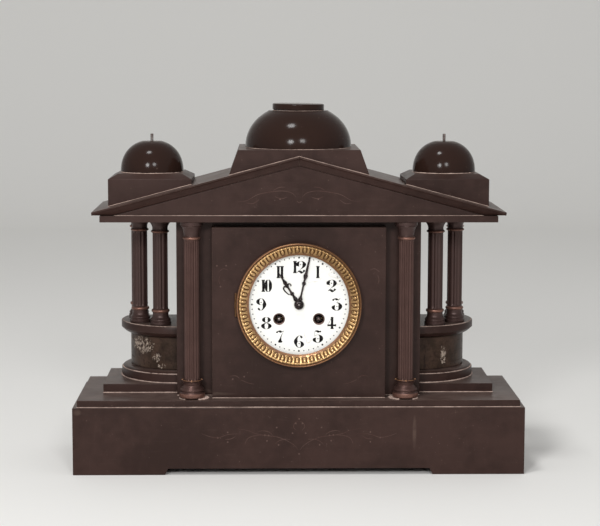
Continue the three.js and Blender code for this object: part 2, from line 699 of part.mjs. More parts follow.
// An arbor that runs between the plates on two thinner pivots
function trainArbor(body = arbor.radius) {
  const pivotEnd = plate.thickness - bed;
  return turnedBack([
    [0, insideFront - pivotEnd], [arbor.pivot, insideFront - pivotEnd], [arbor.pivot, insideFront + bed],
    [body, insideFront + bed], [body, insideBack - bed], [arbor.pivot, insideBack - bed],
    [arbor.pivot, insideBack + pivotEnd], [0, insideBack + pivotEnd],
  ], facets.tiny);
}

// Where each wheel stands between the plates, as shares of the room there
const layerShares = { centreWheel: 0.045, thirdPinion: 0.02, thirdPinionEnd: 0.12, barrelFront: 0.145, escapePinion: 0.52,
  thirdWheel: 0.56, escapePinionEnd: 0.65, escapeWheel: 0.77, intermediatePinion: 0.755,
  intermediatePinionEnd: 0.86, intermediateWheel: 0.89, centrePinion: 0.875, centrePinionEnd: 0.955 };

function layer(share) {
  return insideFront + share * plate.gapBetween;
}

const barrelFront = layer(layerShares.barrelFront);
const barrelGearFront = barrelFront + barrel.length;

// A spring barrel: a drum with a toothed rim at its back, bored for its winding arbor
function barrelPiece(turn) {
  const gearBack = barrelGearFront + barrel.gear;
  const drum = turnedBack(ringOf([[barrel.bore, barrelFront], [barrel.radius, barrelFront],
    [barrel.radius, barrelGearFront + barrel.gear / 2], [barrel.bore, barrelGearFront + barrel.gear / 2]]), facets.medium);
  const hole = circle(barrel.bore + bed, facets.small, [0, 0], quarterTurn);
  return joined(drum, gear(train.barrelTeeth, barrel.module, turn, barrelGearFront, gearBack, hole));
}

// The winding arbor: its square end stands in the dial's keyhole
function windingArbor() {
  const squareEnd = dialFace + bed;
  const squareBack = frontPlateFace - bed;
  const half = key.square / 2;
  const shaft = turnedBack([[0, squareBack - bed], [key.arbor, squareBack - bed], [key.arbor, insideBack - bed],
    [arbor.pivot, insideBack - bed], [arbor.pivot, insideBack + plate.thickness - bed],
    [0, insideBack + plate.thickness - bed]], facets.tiny);
  return joined(shaft, box([-half, half], [squareEnd, squareBack], [-half, half]));
}

function intermediateWheel() {
  const pinion = gear(train.intermediateLeaves, barrel.module,
    bearing(intermediate, going) + halfTurn / train.intermediateLeaves,
    layer(layerShares.intermediatePinion), layer(layerShares.intermediatePinionEnd));
  const wheelTurn = bearing(intermediate, [0, 0]);
  return joined(trainArbor(), pinion,
    trainWheel(train.intermediateTeeth, intermediateModule, wheelTurn, layer(layerShares.intermediateWheel)));
}

function centreWheel() {
  const pinionTurn = bearing([0, 0], intermediate) + halfTurn / train.centreLeaves;
  const pinion = gear(train.centreLeaves, intermediateModule, pinionTurn,
    layer(layerShares.centrePinion), layer(layerShares.centrePinionEnd));
  const nose = rod(centreNose.radius, centreNose.point, insideFront + arbor.radius);
  return joined(trainArbor(), nose, pinion,
    trainWheel(train.centreTeeth, thirdPlace.module, bearing([0, 0], third), layer(layerShares.centreWheel)));
}

function thirdWheel() {
  const pinion = gear(train.thirdLeaves, thirdPlace.module, bearing(third, [0, 0]) + halfTurn / train.thirdLeaves,
    layer(layerShares.thirdPinion), layer(layerShares.thirdPinionEnd));
  return joined(trainArbor(arbor.slim), pinion,
    trainWheel(train.thirdTeeth, escapePlace.module, bearing(third, escape), layer(layerShares.thirdWheel)));
}

// The escape wheel's teeth lean: one steep face and one long back
function escapeWheel() {
  const points = [];
  const pitch = fullTurn / train.escapeTeeth;
  for (let i = 0; i < train.escapeTeeth; i += 1) {
    points.push(stepFrom([0, 0], escapePlace.radius, i * pitch));
    points.push(stepFrom([0, 0], escapePlace.radius - escapePlace.depth, (i + escapePlace.leanShare) * pitch));
  }
  const pinion = gear(train.escapeLeaves, escapePlace.module, bearing(escape, third) + halfTurn / train.escapeLeaves,
    layer(layerShares.escapePinion), layer(layerShares.escapePinionEnd));
  const front = layer(layerShares.escapeWheel);
  return joined(trainArbor(arbor.slim), pinion,
    standing(points, front, front + wheel.thickness));
}

// The anchor: two arms over the escape wheel, each with a nib, on an arbor that carries the crutch
function palletsPiece() {
  const front = layer(layerShares.escapeWheel);
  const clear = escapePlace.radius + palletPlace.lift;
  const nibAcross = clear * Math.SQRT1_2;
  const nibDown = palletPlace.above - clear * Math.SQRT1_2;
  const arm = palletPlace.arm;
  const half = [[0, arm + arm], [nibAcross + palletPlace.nib, -nibDown + palletPlace.nib + arm],
    [nibAcross + palletPlace.nib, -nibDown], [nibAcross, -nibDown], [nibAcross - arm / 2, -nibDown + palletPlace.nib],
    [0, -arm]];
  const mirror = half.slice(1, -1).map(([x, z]) => [-x, z]).reverse();
  const anchor = standing([...half, ...mirror], front, front + palletPlace.thickness);
  const crutchFront = backPlateRear + air;
  const crutchBack = crutchFront + crutch.thickness;
  const forkInner = pendulum.rod + crutch.forkGap;
  const forkBack = pendulum.setback + pendulum.rod;
  const stem = box([-crutch.width / 2, crutch.width / 2], [crutchFront, crutchBack], [-crutch.length, 0]);
  const yoke = box([-forkInner - crutch.fork, forkInner + crutch.fork], [crutchFront, crutchBack],
    [-crutch.length - crutch.width, -crutch.length + crutch.fork]);
  const prongs = [-1, 1].map((side) => box(sorted(side * forkInner, side * (forkInner + crutch.fork)),
    [crutchFront, forkBack], [-crutch.length - crutch.width, -crutch.length]));
  const shaft = turnedBack([[0, insideFront - plate.thickness + bed], [arbor.pivot, insideFront - plate.thickness + bed],
    [arbor.pivot, insideFront + bed], [arbor.radius, insideFront + bed], [arbor.radius, insideBack - bed],
    [arbor.pivot, insideBack - bed], [arbor.pivot, crutchBack], [0, crutchBack]], facets.tiny);
  return joined(shaft, anchor, stem, yoke, ...prongs);
}

// Motion work, in front of the front plate

const minuteWheelBack = frontPlateFace - bed;
const hourWheelBack = minuteWheelBack - motionWork.thickness - 2 * air;

function minuteWheelPiece() {
  const front = hourWheelBack - motionWork.thickness;
  const stud = turnedBack([[0, front], [arbor.pivot, front], [arbor.pivot, minuteWheelBack], [0, minuteWheelBack]],
    facets.tiny);
  const pivot = rod(arbor.pivot, minuteWheelBack - bed, insideFront - bed);
  return joined(stud, pivot,
    gear(train.minuteLeaves, hourModule, bearing(minuteArbor, [0, 0]) + halfTurn / train.minuteLeaves,
      front, minuteWheelBack - motionWork.thickness / 2),
    gear(train.minuteTeeth, motionWork.module, bearing(minuteArbor, [0, 0]) + halfTurn / train.minuteTeeth,
      minuteWheelBack - motionWork.thickness, minuteWheelBack));
}

function hourWheelPiece() {
  const pipeFront = dialFace - hourHand.above - hourHand.thickness;
  const pipeWall = turnedBack(ringOf([[pipe.hourInner, pipeFront], [pipe.hourOuter, pipeFront],
    [pipe.hourOuter, hourWheelBack], [pipe.hourInner, hourWheelBack]]), facets.small);
  const hole = circle((pipe.hourInner + pipe.hourOuter) / 2, facets.small, [0, 0], quarterTurn);
  return joined(pipeWall, gear(train.hourTeeth, hourModule, bearing([0, 0], minuteArbor),
    hourWheelBack - motionWork.thickness, hourWheelBack, hole));
}

// Plates

function plateHoles(extra = []) {
  const small = [intermediate, third, escape, pallet, hammerArbor, ...extra];
  return small.map((place) => circle(arbor.hole, facets.tiny, place));
}

function frontPlate() {
  const holes = [...plateHoles([minuteArbor]), circle(centreNose.radius + bed, facets.tiny, [0, 0]),
    circle(key.hole, facets.small, going), circle(key.hole, facets.small, striking)];
  return standing(circle(plate.radius, facets.large), frontPlateFace, insideFront, holes);
}

// The bell's arm leaves the back plate beside the bell, passes its rim and turns in behind the crown
function bellArmPieces() {
  const bellBack = bell.mouth + bell.depth;
  const armFront = bellBack + bed;
  const armBack = armFront + bellArm.thickness;
  const turn = bellArm.turn * degrees;
  const half = bellArm.width / 2;
  const inner = bellArm.ring - bellArm.thickness;
  const along = box([inner, bellArm.ring], [backPlateRear - bed, armBack], [-half, half]).rotateY(-turn);
  const behind = box([-half, bellArm.ring], [armFront, armBack], [-half, half]).rotateY(-turn);
  return [along, behind, rod(bellArm.stud, bellBack - bell.wall - bell.crownHole, armBack)];
}

// The suspension cock: a bracket above the pallet arbor with a jaw over the pendulum spring
function cockPiece() {
  const half = cock.width / 2;
  const foot = pallet[1] + cock.jaw / 2;
  const top = foot + cock.jaw;
  const back = pendulum.setback + cock.overhang / 2;
  return box([-half, half], [backPlateRear - bed, back], [foot, top]);
}

function backPlate() {
  const holes = [...plateHoles(), ...[going, striking, [0, 0]].map((place) => circle(arbor.hole, facets.tiny, place))];
  const disc = standing(circle(plate.radius, facets.large), insideBack, backPlateRear, holes);
  const pillars = pillarAngles.map((angle) => rod(plate.pillar, insideFront + bed, insideBack + bed, facets.tiny,
    stepFrom([0, 0], plate.pillarRing, angle)));
  return joined(disc, ...pillars, ...bellArmPieces(), cockPiece());
}

// Pendulum, bell and hammer, each about its own axis or centre

function pendulumPiece() {
  const length = dialHeight + pallet[1] - stepTop - pendulum.above - pendulum.bob;
  const spring = box([-suspension.width / 2, suspension.width / 2], [-suspension.thickness / 2, suspension.thickness / 2],
    [-suspension.length, cock.jaw / 2 - bed]);
  const stem = post(pendulum.rod, -length, pendulum.grip - suspension.length, facets.tiny);
  const bobShares = [[0, -0.5], [0.6, -0.4], [1, -0.04], [1, 0.04], [0.6, 0.4], [0, 0.5]];
  const bob = turnedBack(bobShares.map(([out, along]) => [out * pendulum.bob, along * pendulum.bobThickness]),
    facets.medium);
  return joined(spring, stem, bob.translate(0, 0, -length));
}

function bellPiece() {
  const shares = [[1, 0], [0.93, 0.4], [0.68, 0.78], [0.3, 0.98]];
  const outer = shares.map(([out, deep]) => [out * bell.radius, bell.mouth + deep * bell.depth]);
  const inner = shares.map(([out, deep]) => [out * (bell.radius - bell.wall), bell.mouth + deep * (bell.depth - bell.wall)]);
  outer.push([bell.crownHole, bell.mouth + bell.depth]);
  inner.push([bell.crownHole, bell.mouth + bell.depth - bell.wall]);
  return turnedBack(ringOf([...outer, ...inner.reverse()]), facets.bell);
}

// The hammer: an arbor between the plates, an arm behind them, and a head beside the bell's rim
function hammerPiece() {
  const headCentre = [
    Math.cos(hammer.lean * degrees) * (bell.radius + hammer.strike + hammer.head) + hammer.across,
    Math.sin(hammer.lean * degrees) * (bell.radius + hammer.strike + hammer.head) - hammer.up,
  ];
  const armFront = backPlateRear + air;
  const armBack = armFront + crutch.thickness;
  const half = crutch.width / 2;
  const lean = bearing([0, 0], headCentre);
  const reach = Math.hypot(...headCentre);
  const arm = box([-half, reach + half], [armFront, armBack], [-half, half]).rotateY(-lean * degrees);
  const headBack = bell.mouth + hammer.headLength / 2;
  const tail = rod(crutch.width / 2, armFront, headBack, facets.tiny, headCentre);
  const head = rod(hammer.head, headBack - hammer.headLength, headBack, facets.small, headCentre);
  const shaft = turnedBack([[0, insideFront - plate.thickness + bed], [arbor.pivot, insideFront - plate.thickness + bed],
    [arbor.pivot, insideFront + bed], [arbor.radius, insideFront + bed], [arbor.radius, insideBack - bed],
    [arbor.pivot, insideBack - bed], [arbor.pivot, armBack], [0, armBack]], facets.tiny);
  return joined(shaft, arm, tail, head);
}

// Brasswork at the back

const rearFace = body.back + bed;
const rearBack = rearFace + rearRing.thickness;

function rearRingPiece() {
  const inner = rearRing.spigot - rearRing.spigotWall;
  const spigotFront = rearFace - rearRing.spigotDepth;
  const ring = turnedBack(ringOf([[inner, spigotFront], [rearRing.spigot, spigotFront], [rearRing.spigot, rearFace],
    [rearRing.radius, rearFace], [rearRing.radius, rearBack], [inner, rearBack]]), facets.large);
  const screwAcross = strap.reach - strap.foot + rearRing.screw + bed;
  const lugHalf = strap.width / 2;
  const fittings = [-1, 1].flatMap((side) => [
    box(sorted(side * (screwAcross - rearRing.screw), side * (inner + rearRing.spigotWall / 2)),
      [spigotFront, spigotFront + rearRing.lug], [-lugHalf, lugHalf]),
    rod(rearRing.screw, strap.back + bed, spigotFront + rearRing.lug, facets.tiny, [side * screwAcross, 0]),
  ]);
  const half = rearHinge.knuckle / 2 - bed;
  const leaf = box([rearRing.radius - rearRing.thickness, rearAxis[0]], [rearFace, rearBack], [-half, half]);
  return joined(ring, ...fittings, leaf, rearKnuckle(-half, half));
}

const rearAxis = [rearHinge.reach, rearBack];

function rearKnuckle(bottom, top) {
  return post(rearHinge.radius, bottom, top, facets.tiny).translate(rearAxis[0], rearAxis[1], 0);
}

// The rear door: a spun disc, dished outwards, with a small pull at the free side
function rearDoorPiece() {
  const front = rearBack + bed;
  const back = front + rearDoor.thickness;
  const slope = rearDoor.dishRadius - rearDoor.dish * 2;
  const disc = turnedBack([[0, front + rearDoor.dish], [slope, front + rearDoor.dish], [rearDoor.dishRadius, front],
    [rearDoor.radius, front], [rearDoor.radius, back], [rearDoor.dishRadius, back], [slope, back + rearDoor.dish],
    [0, back + rearDoor.dish]], facets.large);
  const half = rearHinge.length / 2;
  const inner = rearHinge.knuckle / 2;
  const pieces = [disc, rod(rearDoor.knob, back - bed, back + rearDoor.dish, facets.tiny,
    [-(rearDoor.radius - rearDoor.knob * 2), 0])];
  [[-half, -inner], [inner, half]].forEach((span) => {
    pieces.push(rearKnuckle(...span));
    pieces.push(box([rearDoor.radius - rearDoor.rim, rearAxis[0]], [front, back], span));
  });
  return joined(...pieces);
}

// Finishes: colour, roughness and metalness as the photographed object shows them
const finishes = {
  slate: [0x3d302c, 0.42, 0],
  polishedSlate: [0x241c1c, 0.12, 0],
  variegatedMarble: [0x4a3a30, 0.35, 0],
  bronze: [0x4a3730, 0.45, 0.8],
  gilt: [0xb98f4f, 0.35, 1],
  enamel: [0xfbfbf7, 0.2, 0],
  glass: [0xffffff, 0.03, 0],
  blackSteel: [0x1c1414, 0.35, 0.7],
  brass: [0xb5955a, 0.35, 1],
  steel: [0x8d8d8a, 0.35, 1],
  bellMetal: [0xa9a28c, 0.25, 1],
};

function material(name) {
  const [color, roughness, metalness] = finishes[name];
  const clear = name === "glass";
  return new THREE.MeshStandardMaterial({ color, roughness, metalness, transparent: clear, opacity: clear ? 0.2 : 1 });
}

const clock = new THREE.Group();
const caseWork = new THREE.Group(); // setbacks are counted from the plinth's front face
const movement = new THREE.Group(); // the same, and heights from the dial's centre
caseWork.position.set(0, -plinth.depth / 2, 0);
movement.position.set(0, -plinth.depth / 2, dialHeight);
clock.add(caseWork, movement);

function place(group, name, finish, geometry, [x, y, z] = [0, 0, 0]) {
  const mesh = new THREE.Mesh(closedGeometry(geometry), material(finish));
  mesh.name = name;
  mesh.position.set(x, y, z);
  group.add(mesh);
}

// Base and body
place(caseWork, "plinth", "slate", plinthStone());
place(caseWork, "base_slab", "slate", slabStone(slab, plinth.height + bed));
place(caseWork, "step_slab", "slate", slabStone(step, slabTop + bed));
place(caseWork, "front_wall", "slate", frontWall());
place(caseWork, "dial_panel", "slate", dialPanel());
place(caseWork, "back_wall", "slate", backWall());

// What stands at each side
const apseAcross = body.width / 2 + apse.offset;
[["left", -1], ["right", 1]].forEach(([name, side]) => {
  const axis = [side * apseAcross, apse.axisSetback, 0];
  place(caseWork, `side_wall_${name}`, "slate", sideWall(side));
  place(caseWork, `pedestal_base_${name}`, "slate", pedestalBaseStone(side), axis);
  place(caseWork, `pedestal_drum_${name}`, "variegatedMarble", pedestalDrumStone(side), axis);
  place(caseWork, `pedestal_cap_${name}`, "slate", pedestalCapStone(side), axis);
  Object.entries(smallColumnPlaces).forEach(([where, turn]) => {
    const [out, forward] = stepFrom([0, 0], smallColumn.ring, turn);
    place(caseWork, `small_column_${name}_${where}`, "bronze", smallColumnPiece(),
      [side * (apseAcross + out), apse.axisSetback - forward, 0]);
  });
  place(caseWork, `large_column_${name}`, "bronze", largeColumnPiece(), [side * largeColumn.across, largeColumn.setback, 0]);
  place(caseWork, `roof_${name}`, "slate", roofSlab(side));
  place(caseWork, `corner_block_${name}`, "slate", cornerBlockStone(side));
  const domeAxis = [side * cornerBlock.across, cornerBlock.setback + cornerBlock.width / 2, 0];
  place(caseWork, `side_dome_${name}`, "polishedSlate", sideDomePiece(), domeAxis);
  place(caseWork, `finial_pin_${name}`, "steel", finialPinPiece(), domeAxis);
});

// Top
place(caseWork, "architrave", "slate", architraveStone());
place(caseWork, "tympanum", "slate", gableStone(gable.front));
place(caseWork, "back_gable", "slate", gableStone(gable.back));
place(caseWork, "dome_block", "slate", domeBlockStone());
const domeAxis = [0, domeBlock.setback + domeBlock.topDepth / 2, 0];
place(caseWork, "central_dome", "polishedSlate", centralDomePiece(), domeAxis);
place(caseWork, "dome_cap", "polishedSlate", domeCapPiece(), domeAxis);

// Dial and bezel
place(movement, "bezel_seat", "gilt", bezelSeat());
place(movement, "bezel", "gilt", bezelPiece());
place(movement, "bezel_glass", "glass", glassPiece());
place(movement, "dial", "enamel", dialPiece());
place(movement, "hour_hand", "blackSteel", hourHandPiece());
place(movement, "minute_hand", "blackSteel", minuteHandPiece());

// Movement
const at = ([x, z]) => [x, 0, z];
place(movement, "front_plate", "brass", frontPlate());
place(movement, "back_plate", "brass", backPlate());
place(movement, "hour_wheel", "brass", hourWheelPiece());
place(movement, "minute_wheel", "brass", minuteWheelPiece(), at(minuteArbor));
place(movement, "going_barrel", "brass", barrelPiece(bearing(going, intermediate)), at(going));
place(movement, "strike_barrel", "brass", barrelPiece(quarterTurn), at(striking));
place(movement, "going_winding_arbor", "steel", windingArbor(), at(going));
place(movement, "strike_winding_arbor", "steel", windingArbor(), at(striking));
place(movement, "intermediate_wheel", "brass", intermediateWheel(), at(intermediate));
place(movement, "centre_wheel", "brass", centreWheel());
place(movement, "third_wheel", "brass", thirdWheel(), at(third));
place(movement, "escape_wheel", "brass", escapeWheel(), at(escape));
place(movement, "pallets", "steel", palletsPiece(), at(pallet));
place(movement, "pendulum", "brass", pendulumPiece(), [pallet[0], pendulum.setback, pallet[1]]);
place(movement, "bell", "bellMetal", bellPiece());
place(movement, "hammer", "steel", hammerPiece(), at(hammerArbor));
place(movement, "rear_ring", "brass", rearRingPiece());
place(movement, "rear_door", "brass", rearDoorPiece());

export default clock;
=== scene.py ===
"""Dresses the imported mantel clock: stone, bronze, gilt brass and enamel, and the studio round it."""

import json
import math

import bmesh
import bpy
from mathutils import Euler, Matrix, Vector


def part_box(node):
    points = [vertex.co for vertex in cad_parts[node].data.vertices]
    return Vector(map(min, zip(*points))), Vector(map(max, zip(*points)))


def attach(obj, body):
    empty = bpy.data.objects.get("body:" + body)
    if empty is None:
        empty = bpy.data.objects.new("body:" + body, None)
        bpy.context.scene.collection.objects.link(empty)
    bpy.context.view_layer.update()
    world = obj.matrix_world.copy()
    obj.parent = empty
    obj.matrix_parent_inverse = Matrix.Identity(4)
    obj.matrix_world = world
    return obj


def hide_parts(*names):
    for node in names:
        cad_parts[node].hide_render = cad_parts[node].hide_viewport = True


bl_info = {
    "name": "Temple Mantel Clock",
    "version": (1, 0, 0),
    "blender": (4, 5, 0),
    "location": "View3D > Sidebar > Mantel Clock",
    "description": "Builds the stone, bronze, gilt and enamel surfaces of a temple-front mantel clock",
    "category": "Object",
}

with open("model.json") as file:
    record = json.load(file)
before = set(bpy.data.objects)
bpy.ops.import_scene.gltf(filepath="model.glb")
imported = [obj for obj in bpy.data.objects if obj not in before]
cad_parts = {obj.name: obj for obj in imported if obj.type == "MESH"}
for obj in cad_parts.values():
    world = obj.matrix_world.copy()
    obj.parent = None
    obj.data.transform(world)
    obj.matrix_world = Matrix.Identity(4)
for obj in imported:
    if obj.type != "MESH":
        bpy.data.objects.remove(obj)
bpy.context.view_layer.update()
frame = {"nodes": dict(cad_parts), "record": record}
MM = 0.001


def rgb(red, green, blue):
    """A colour as it looks on screen, 0 to 255, turned to the linear values that a property keeps."""
    def linear(value):
        share = value / 255
        return share / 12.92 if share <= 0.04045 else ((share + 0.055) / 1.055) ** 2.4
    return (linear(red), linear(green), linear(blue))


def colour(name, description, default):
    return bpy.props.FloatVectorProperty(
        name=name, description=description, default=default, subtype="COLOR", min=0, max=1, size=3
    )


def length(name, description, default):
    """A size whose default is given in millimetres."""
    return bpy.props.FloatProperty(
        name=name, description=description, default=default * MM, unit="LENGTH", min=0
    )


def power(name, description, default):
    return bpy.props.FloatProperty(name=name, description=description, default=default, unit="POWER")


class ClockStone(bpy.types.PropertyGroup):
    slate: colour("Slate", "Honed black slate of the case", rgb(47, 32, 28))
    slate_cloud: colour("Slate clouding", "Paler bloom in the honed slate", rgb(69, 49, 44))
    slate_edge: colour("Slate edge", "Worn arris of the slate", rgb(112, 94, 84))
    polish: colour("Polished slate", "Domes and cap", rgb(42, 28, 23))
    marble_dark: colour("Marble ground", "Dark brown green ground of the drums", rgb(46, 34, 26))
    marble_light: colour("Marble cloud", "Lighter brown cloud of the drums", rgb(71, 53, 43))
    marble_vein: colour("Marble vein", "Pale veins and scuffs of the drums", rgb(172, 156, 142))
    plaster: colour("Plaster", "Old plaster and dust in the joints", rgb(192, 168, 156))
    engraved: colour("Engraved line", "Dull broken stone in the engraved lines", rgb(84, 66, 60))
    dot: colour("Engraved dot", "Pale bruise in an engraved dot", rgb(88, 70, 64))
    arris: length("Arris", "Radius of the worn stone edges", 0.45)
    groove: length("Engraved width", "Half width of an engraved stem", 0.34)


class ClockMetal(bpy.types.PropertyGroup):
    bronze: colour("Bronze", "Brown patina of the large columns", rgb(84, 62, 57))
    old_bronze: colour("Old bronze", "Darker patina of the small columns", rgb(68, 51, 48))
    copper: colour("Copper", "Rubbed copper of the rings", rgb(134, 97, 84))
    gilt: colour("Gilt", "Gilding of the bezel", rgb(226, 186, 132))
    rubbed: colour("Rubbed gilding", "Brown of the bezel's rubbed lip and sight edge", rgb(162, 120, 86))
    tarnish: colour("Tarnish", "Brown tarnish in the hollows of the bezel", rgb(98, 66, 30))
    brass: colour("Brass", "Movement plates and wheels", rgb(186, 152, 92))
    steel: colour("Steel", "Arbors, squares and pins", rgb(168, 160, 156))
    hands: colour("Hands", "Blackened steel of the hands", rgb(22, 16, 18))
    flute_depth: length("Flute depth", "Depth of the flutes in the shafts", 0.85)
    pin_pitch: length("Pin thread", "Distance between the turns of the pins' thread", 0.8)
    eggs: bpy.props.IntProperty(
        name="Eggs", description="Eggs in the bezel's moulding", default=47, min=12, max=96
    )


class ClockDial(bpy.types.PropertyGroup):
    enamel: colour("Enamel", "White enamel of the dial", rgb(246, 246, 242))
    ink: colour("Ink", "Fired black of numerals and marks", rgb(12, 10, 12))
    numeral_ring: length("Numeral ring", "Radius that the numerals stand on", 37.8)
    numeral_height: length("Numeral height", "Height of a numeral", 12.3)
    minute_ring: length("Minute ring", "Radius that the minute marks stand on", 47.3)
    pen: bpy.props.FloatProperty(
        name="Pen", description="How broad the strokes are drawn", default=1.55, subtype="FACTOR",
        min=0.2, max=2,
    )


class ClockStage(bpy.types.PropertyGroup):
    floor: colour("Floor", "Floor and backdrop", rgb(240, 239, 236))
    lens: bpy.props.FloatProperty(name="Lens", description="Focal length", default=105.66, unit="CAMERA")
    place: bpy.props.FloatVectorProperty(
        name="Camera", description="Where the camera stands", default=(-0.0341, -1.8055, 0.424),
        subtype="TRANSLATION",
    )
    turn: bpy.props.FloatVectorProperty(
        name="Camera turn", description="How the camera is turned", subtype="EULER",
        default=(math.radians(83.11), math.radians(-0.1), math.radians(-1.135)),
    )
    sky: bpy.props.FloatProperty(
        name="Room light", description="Strength of the room's light", default=0.45, min=0
    )
    key: power("Key light", "Power of the left lamp", 20.5)
    fill: power("Fill light", "Power of the right lamp", 13)
    ceiling: power("Ceiling light", "Power of the lamp above", 13)


def stone():
    return bpy.context.scene.clock_stone


def metal():
    return bpy.context.scene.clock_metal


def dial():
    return bpy.context.scene.clock_dial


def studio():
    return bpy.context.scene.clock_stage


# Shader groups: each gives a mask, and each material mixes its own colours by it


def new_group(name, **inputs):
    """A node group that takes a number for each name given, and gives out one mask."""
    tree = bpy.data.node_groups.new(name, "ShaderNodeTree")
    for socket, default in inputs.items():
        made = tree.interface.new_socket(
            name=socket.capitalize(), in_out="INPUT", socket_type="NodeSocketFloat"
        )
        made.default_value = default
    tree.interface.new_socket(name="Mask", in_out="OUTPUT", socket_type="NodeSocketFloat")
    given = tree.nodes.new("NodeGroupInput").outputs
    return tree, given, tree.nodes.new("NodeGroupOutput").inputs["Mask"]


def math_node(tree, operation, first, second=None, clamp=False):
    node = tree.nodes.new("ShaderNodeMath")
    node.operation = operation
    node.use_clamp = clamp
    for socket, value in zip(node.inputs, (first, second)):
        if value is None:
            continue
        if isinstance(value, (int, float)):
            socket.default_value = value
        else:
            tree.links.new(value, socket)
    return node.outputs[0]


def times(tree, first, second):
    return math_node(tree, "MULTIPLY", first, second)


def ramp(tree, value, low, high, bottom=0.0, top=1.0):
    node = tree.nodes.new("ShaderNodeMapRange")
    node.interpolation_type = "SMOOTHSTEP"
    tree.links.new(value, node.inputs["Value"])
    for name, number in (("From Min", low), ("From Max", high), ("To Min", bottom), ("To Max", top)):
        node.inputs[name].default_value = number
    return node.outputs["Result"]


def noise(tree, scale, detail=4.0, distortion=0.0, stretch=(1, 1, 1)):
    place = tree.nodes.new("ShaderNodeTexCoord")
    mapping = tree.nodes.new("ShaderNodeMapping")
    mapping.inputs["Scale"].default_value = stretch
    texture = tree.nodes.new("ShaderNodeTexNoise")
    tree.links.new(place.outputs["Object"], mapping.inputs["Vector"])
    tree.links.new(mapping.outputs[0], texture.inputs["Vector"])
    texture.inputs["Detail"].default_value = detail
    texture.inputs["Distortion"].default_value = distortion
    if isinstance(scale, (int, float)):
        texture.inputs["Scale"].default_value = scale
    else:
        tree.links.new(scale, texture.inputs["Scale"])
    return texture.outputs[0]


def edge_wear_group():
    """Where the surface turns sharply, broken up as rubbed edges are."""
    tree, given, mask = new_group("Edge wear", radius=0.001, amount=0.5)
    rounded = tree.nodes.new("ShaderNodeBevel")
    rounded.samples = 6
    tree.links.new(given["Radius"], rounded.inputs["Radius"])
    plain = tree.nodes.new("ShaderNodeNewGeometry")
    dot = tree.nodes.new("ShaderNodeVectorMath")
    dot.operation = "DOT_PRODUCT"
    tree.links.new(rounded.outputs[0], dot.inputs[0])
    tree.links.new(plain.outputs["Normal"], dot.inputs[1])
    edge = ramp(tree, math_node(tree, "SUBTRACT", 1.0, dot.outputs["Value"]), 0.01, 0.16)
    broken = times(tree, edge, ramp(tree, noise(tree, 160.0), 0.35, 0.62))
    tree.links.new(times(tree, broken, given["Amount"]), mask)
    return tree


def clouding_group():
    """Soft uneven bloom at two scales."""
    tree, given, mask = new_group("Clouding", scale=12.0, contrast=0.5)
    broad = noise(tree, given["Scale"], 5.0, 0.4)
    fine = noise(tree, times(tree, given["Scale"], 9.0), 3.0)
    mixed = math_node(tree, "ADD", times(tree, broad, 0.7), times(tree, fine, 0.3))
    tree.links.new(times(tree, ramp(tree, mixed, 0.36, 0.64), given["Contrast"]), mask)
    return tree


def settled_dust_group():
    """Dust that lies on what faces up, with a painted sheen: every face that looks up is made paler."""
    tree, given, mask = new_group("Settled dust and top sheen", amount=0.4)
    plain = tree.nodes.new("ShaderNodeNewGeometry")
    parts = tree.nodes.new("ShaderNodeSeparateXYZ")
    tree.links.new(plain.outputs["Normal"], parts.inputs[0])
    up = ramp(tree, parts.outputs["Z"], 0.88, 0.99)
    patchy = ramp(tree, noise(tree, 55.0, 7.0), 0.34, 0.7, 0.5, 1.0)
    tree.links.new(times(tree, times(tree, up, patchy), given["Amount"]), mask)
    return tree


def veins_group():
    """Thin broken veins, as a stone with old cracks has them."""
    tree, given, mask = new_group("Veins", scale=20.0, width=0.03)
    drift = noise(tree, given["Scale"], 6.0, 1.6)
    line = math_node(tree, "ABSOLUTE", math_node(tree, "SUBTRACT", drift, 0.5))
    thin = math_node(tree, "SUBTRACT", 1.0, math_node(tree, "DIVIDE", line, given["Width"]), clamp=True)
    tree.links.new(times(tree, thin, ramp(tree, noise(tree, 26.0, 3.0), 0.42, 0.6)), mask)
    return tree


def fine_marks_group():
    """Small rubs and scratches, some drawn out upwards and some across."""
    tree, given, mask = new_group("Fine marks", scale=90.0, amount=0.5)
    across = noise(tree, given["Scale"], 2.0, 0.2, (1, 1, 9))
    upwards = noise(tree, given["Scale"], 2.0, 0.2, (9, 1, 1))
    both = math_node(tree, "MAXIMUM", ramp(tree, across, 0.6, 0.72), ramp(tree, upwards, 0.62, 0.74))
    tree.links.new(times(tree, both, given["Amount"]), mask)
    return tree


def specks_group():
    """Scattered small chips and grains, each a round spot of its own size."""
    tree, given, mask = new_group("Specks", scale=400.0, amount=0.5)
    place = tree.nodes.new("ShaderNodeTexCoord")
    cells = tree.nodes.new("ShaderNodeTexVoronoi")
    tree.links.new(place.outputs["Object"], cells.inputs["Vector"])
    tree.links.new(given["Scale"], cells.inputs["Scale"])
    spot = ramp(tree, cells.outputs["Distance"], 0.05, 0.22, 1.0, 0.0)
    few = ramp(tree, noise(tree, times(tree, given["Scale"], 0.6), 1.0), 0.6, 0.7)
    tree.links.new(times(tree, times(tree, spot, few), given["Amount"]), mask)
    return tree


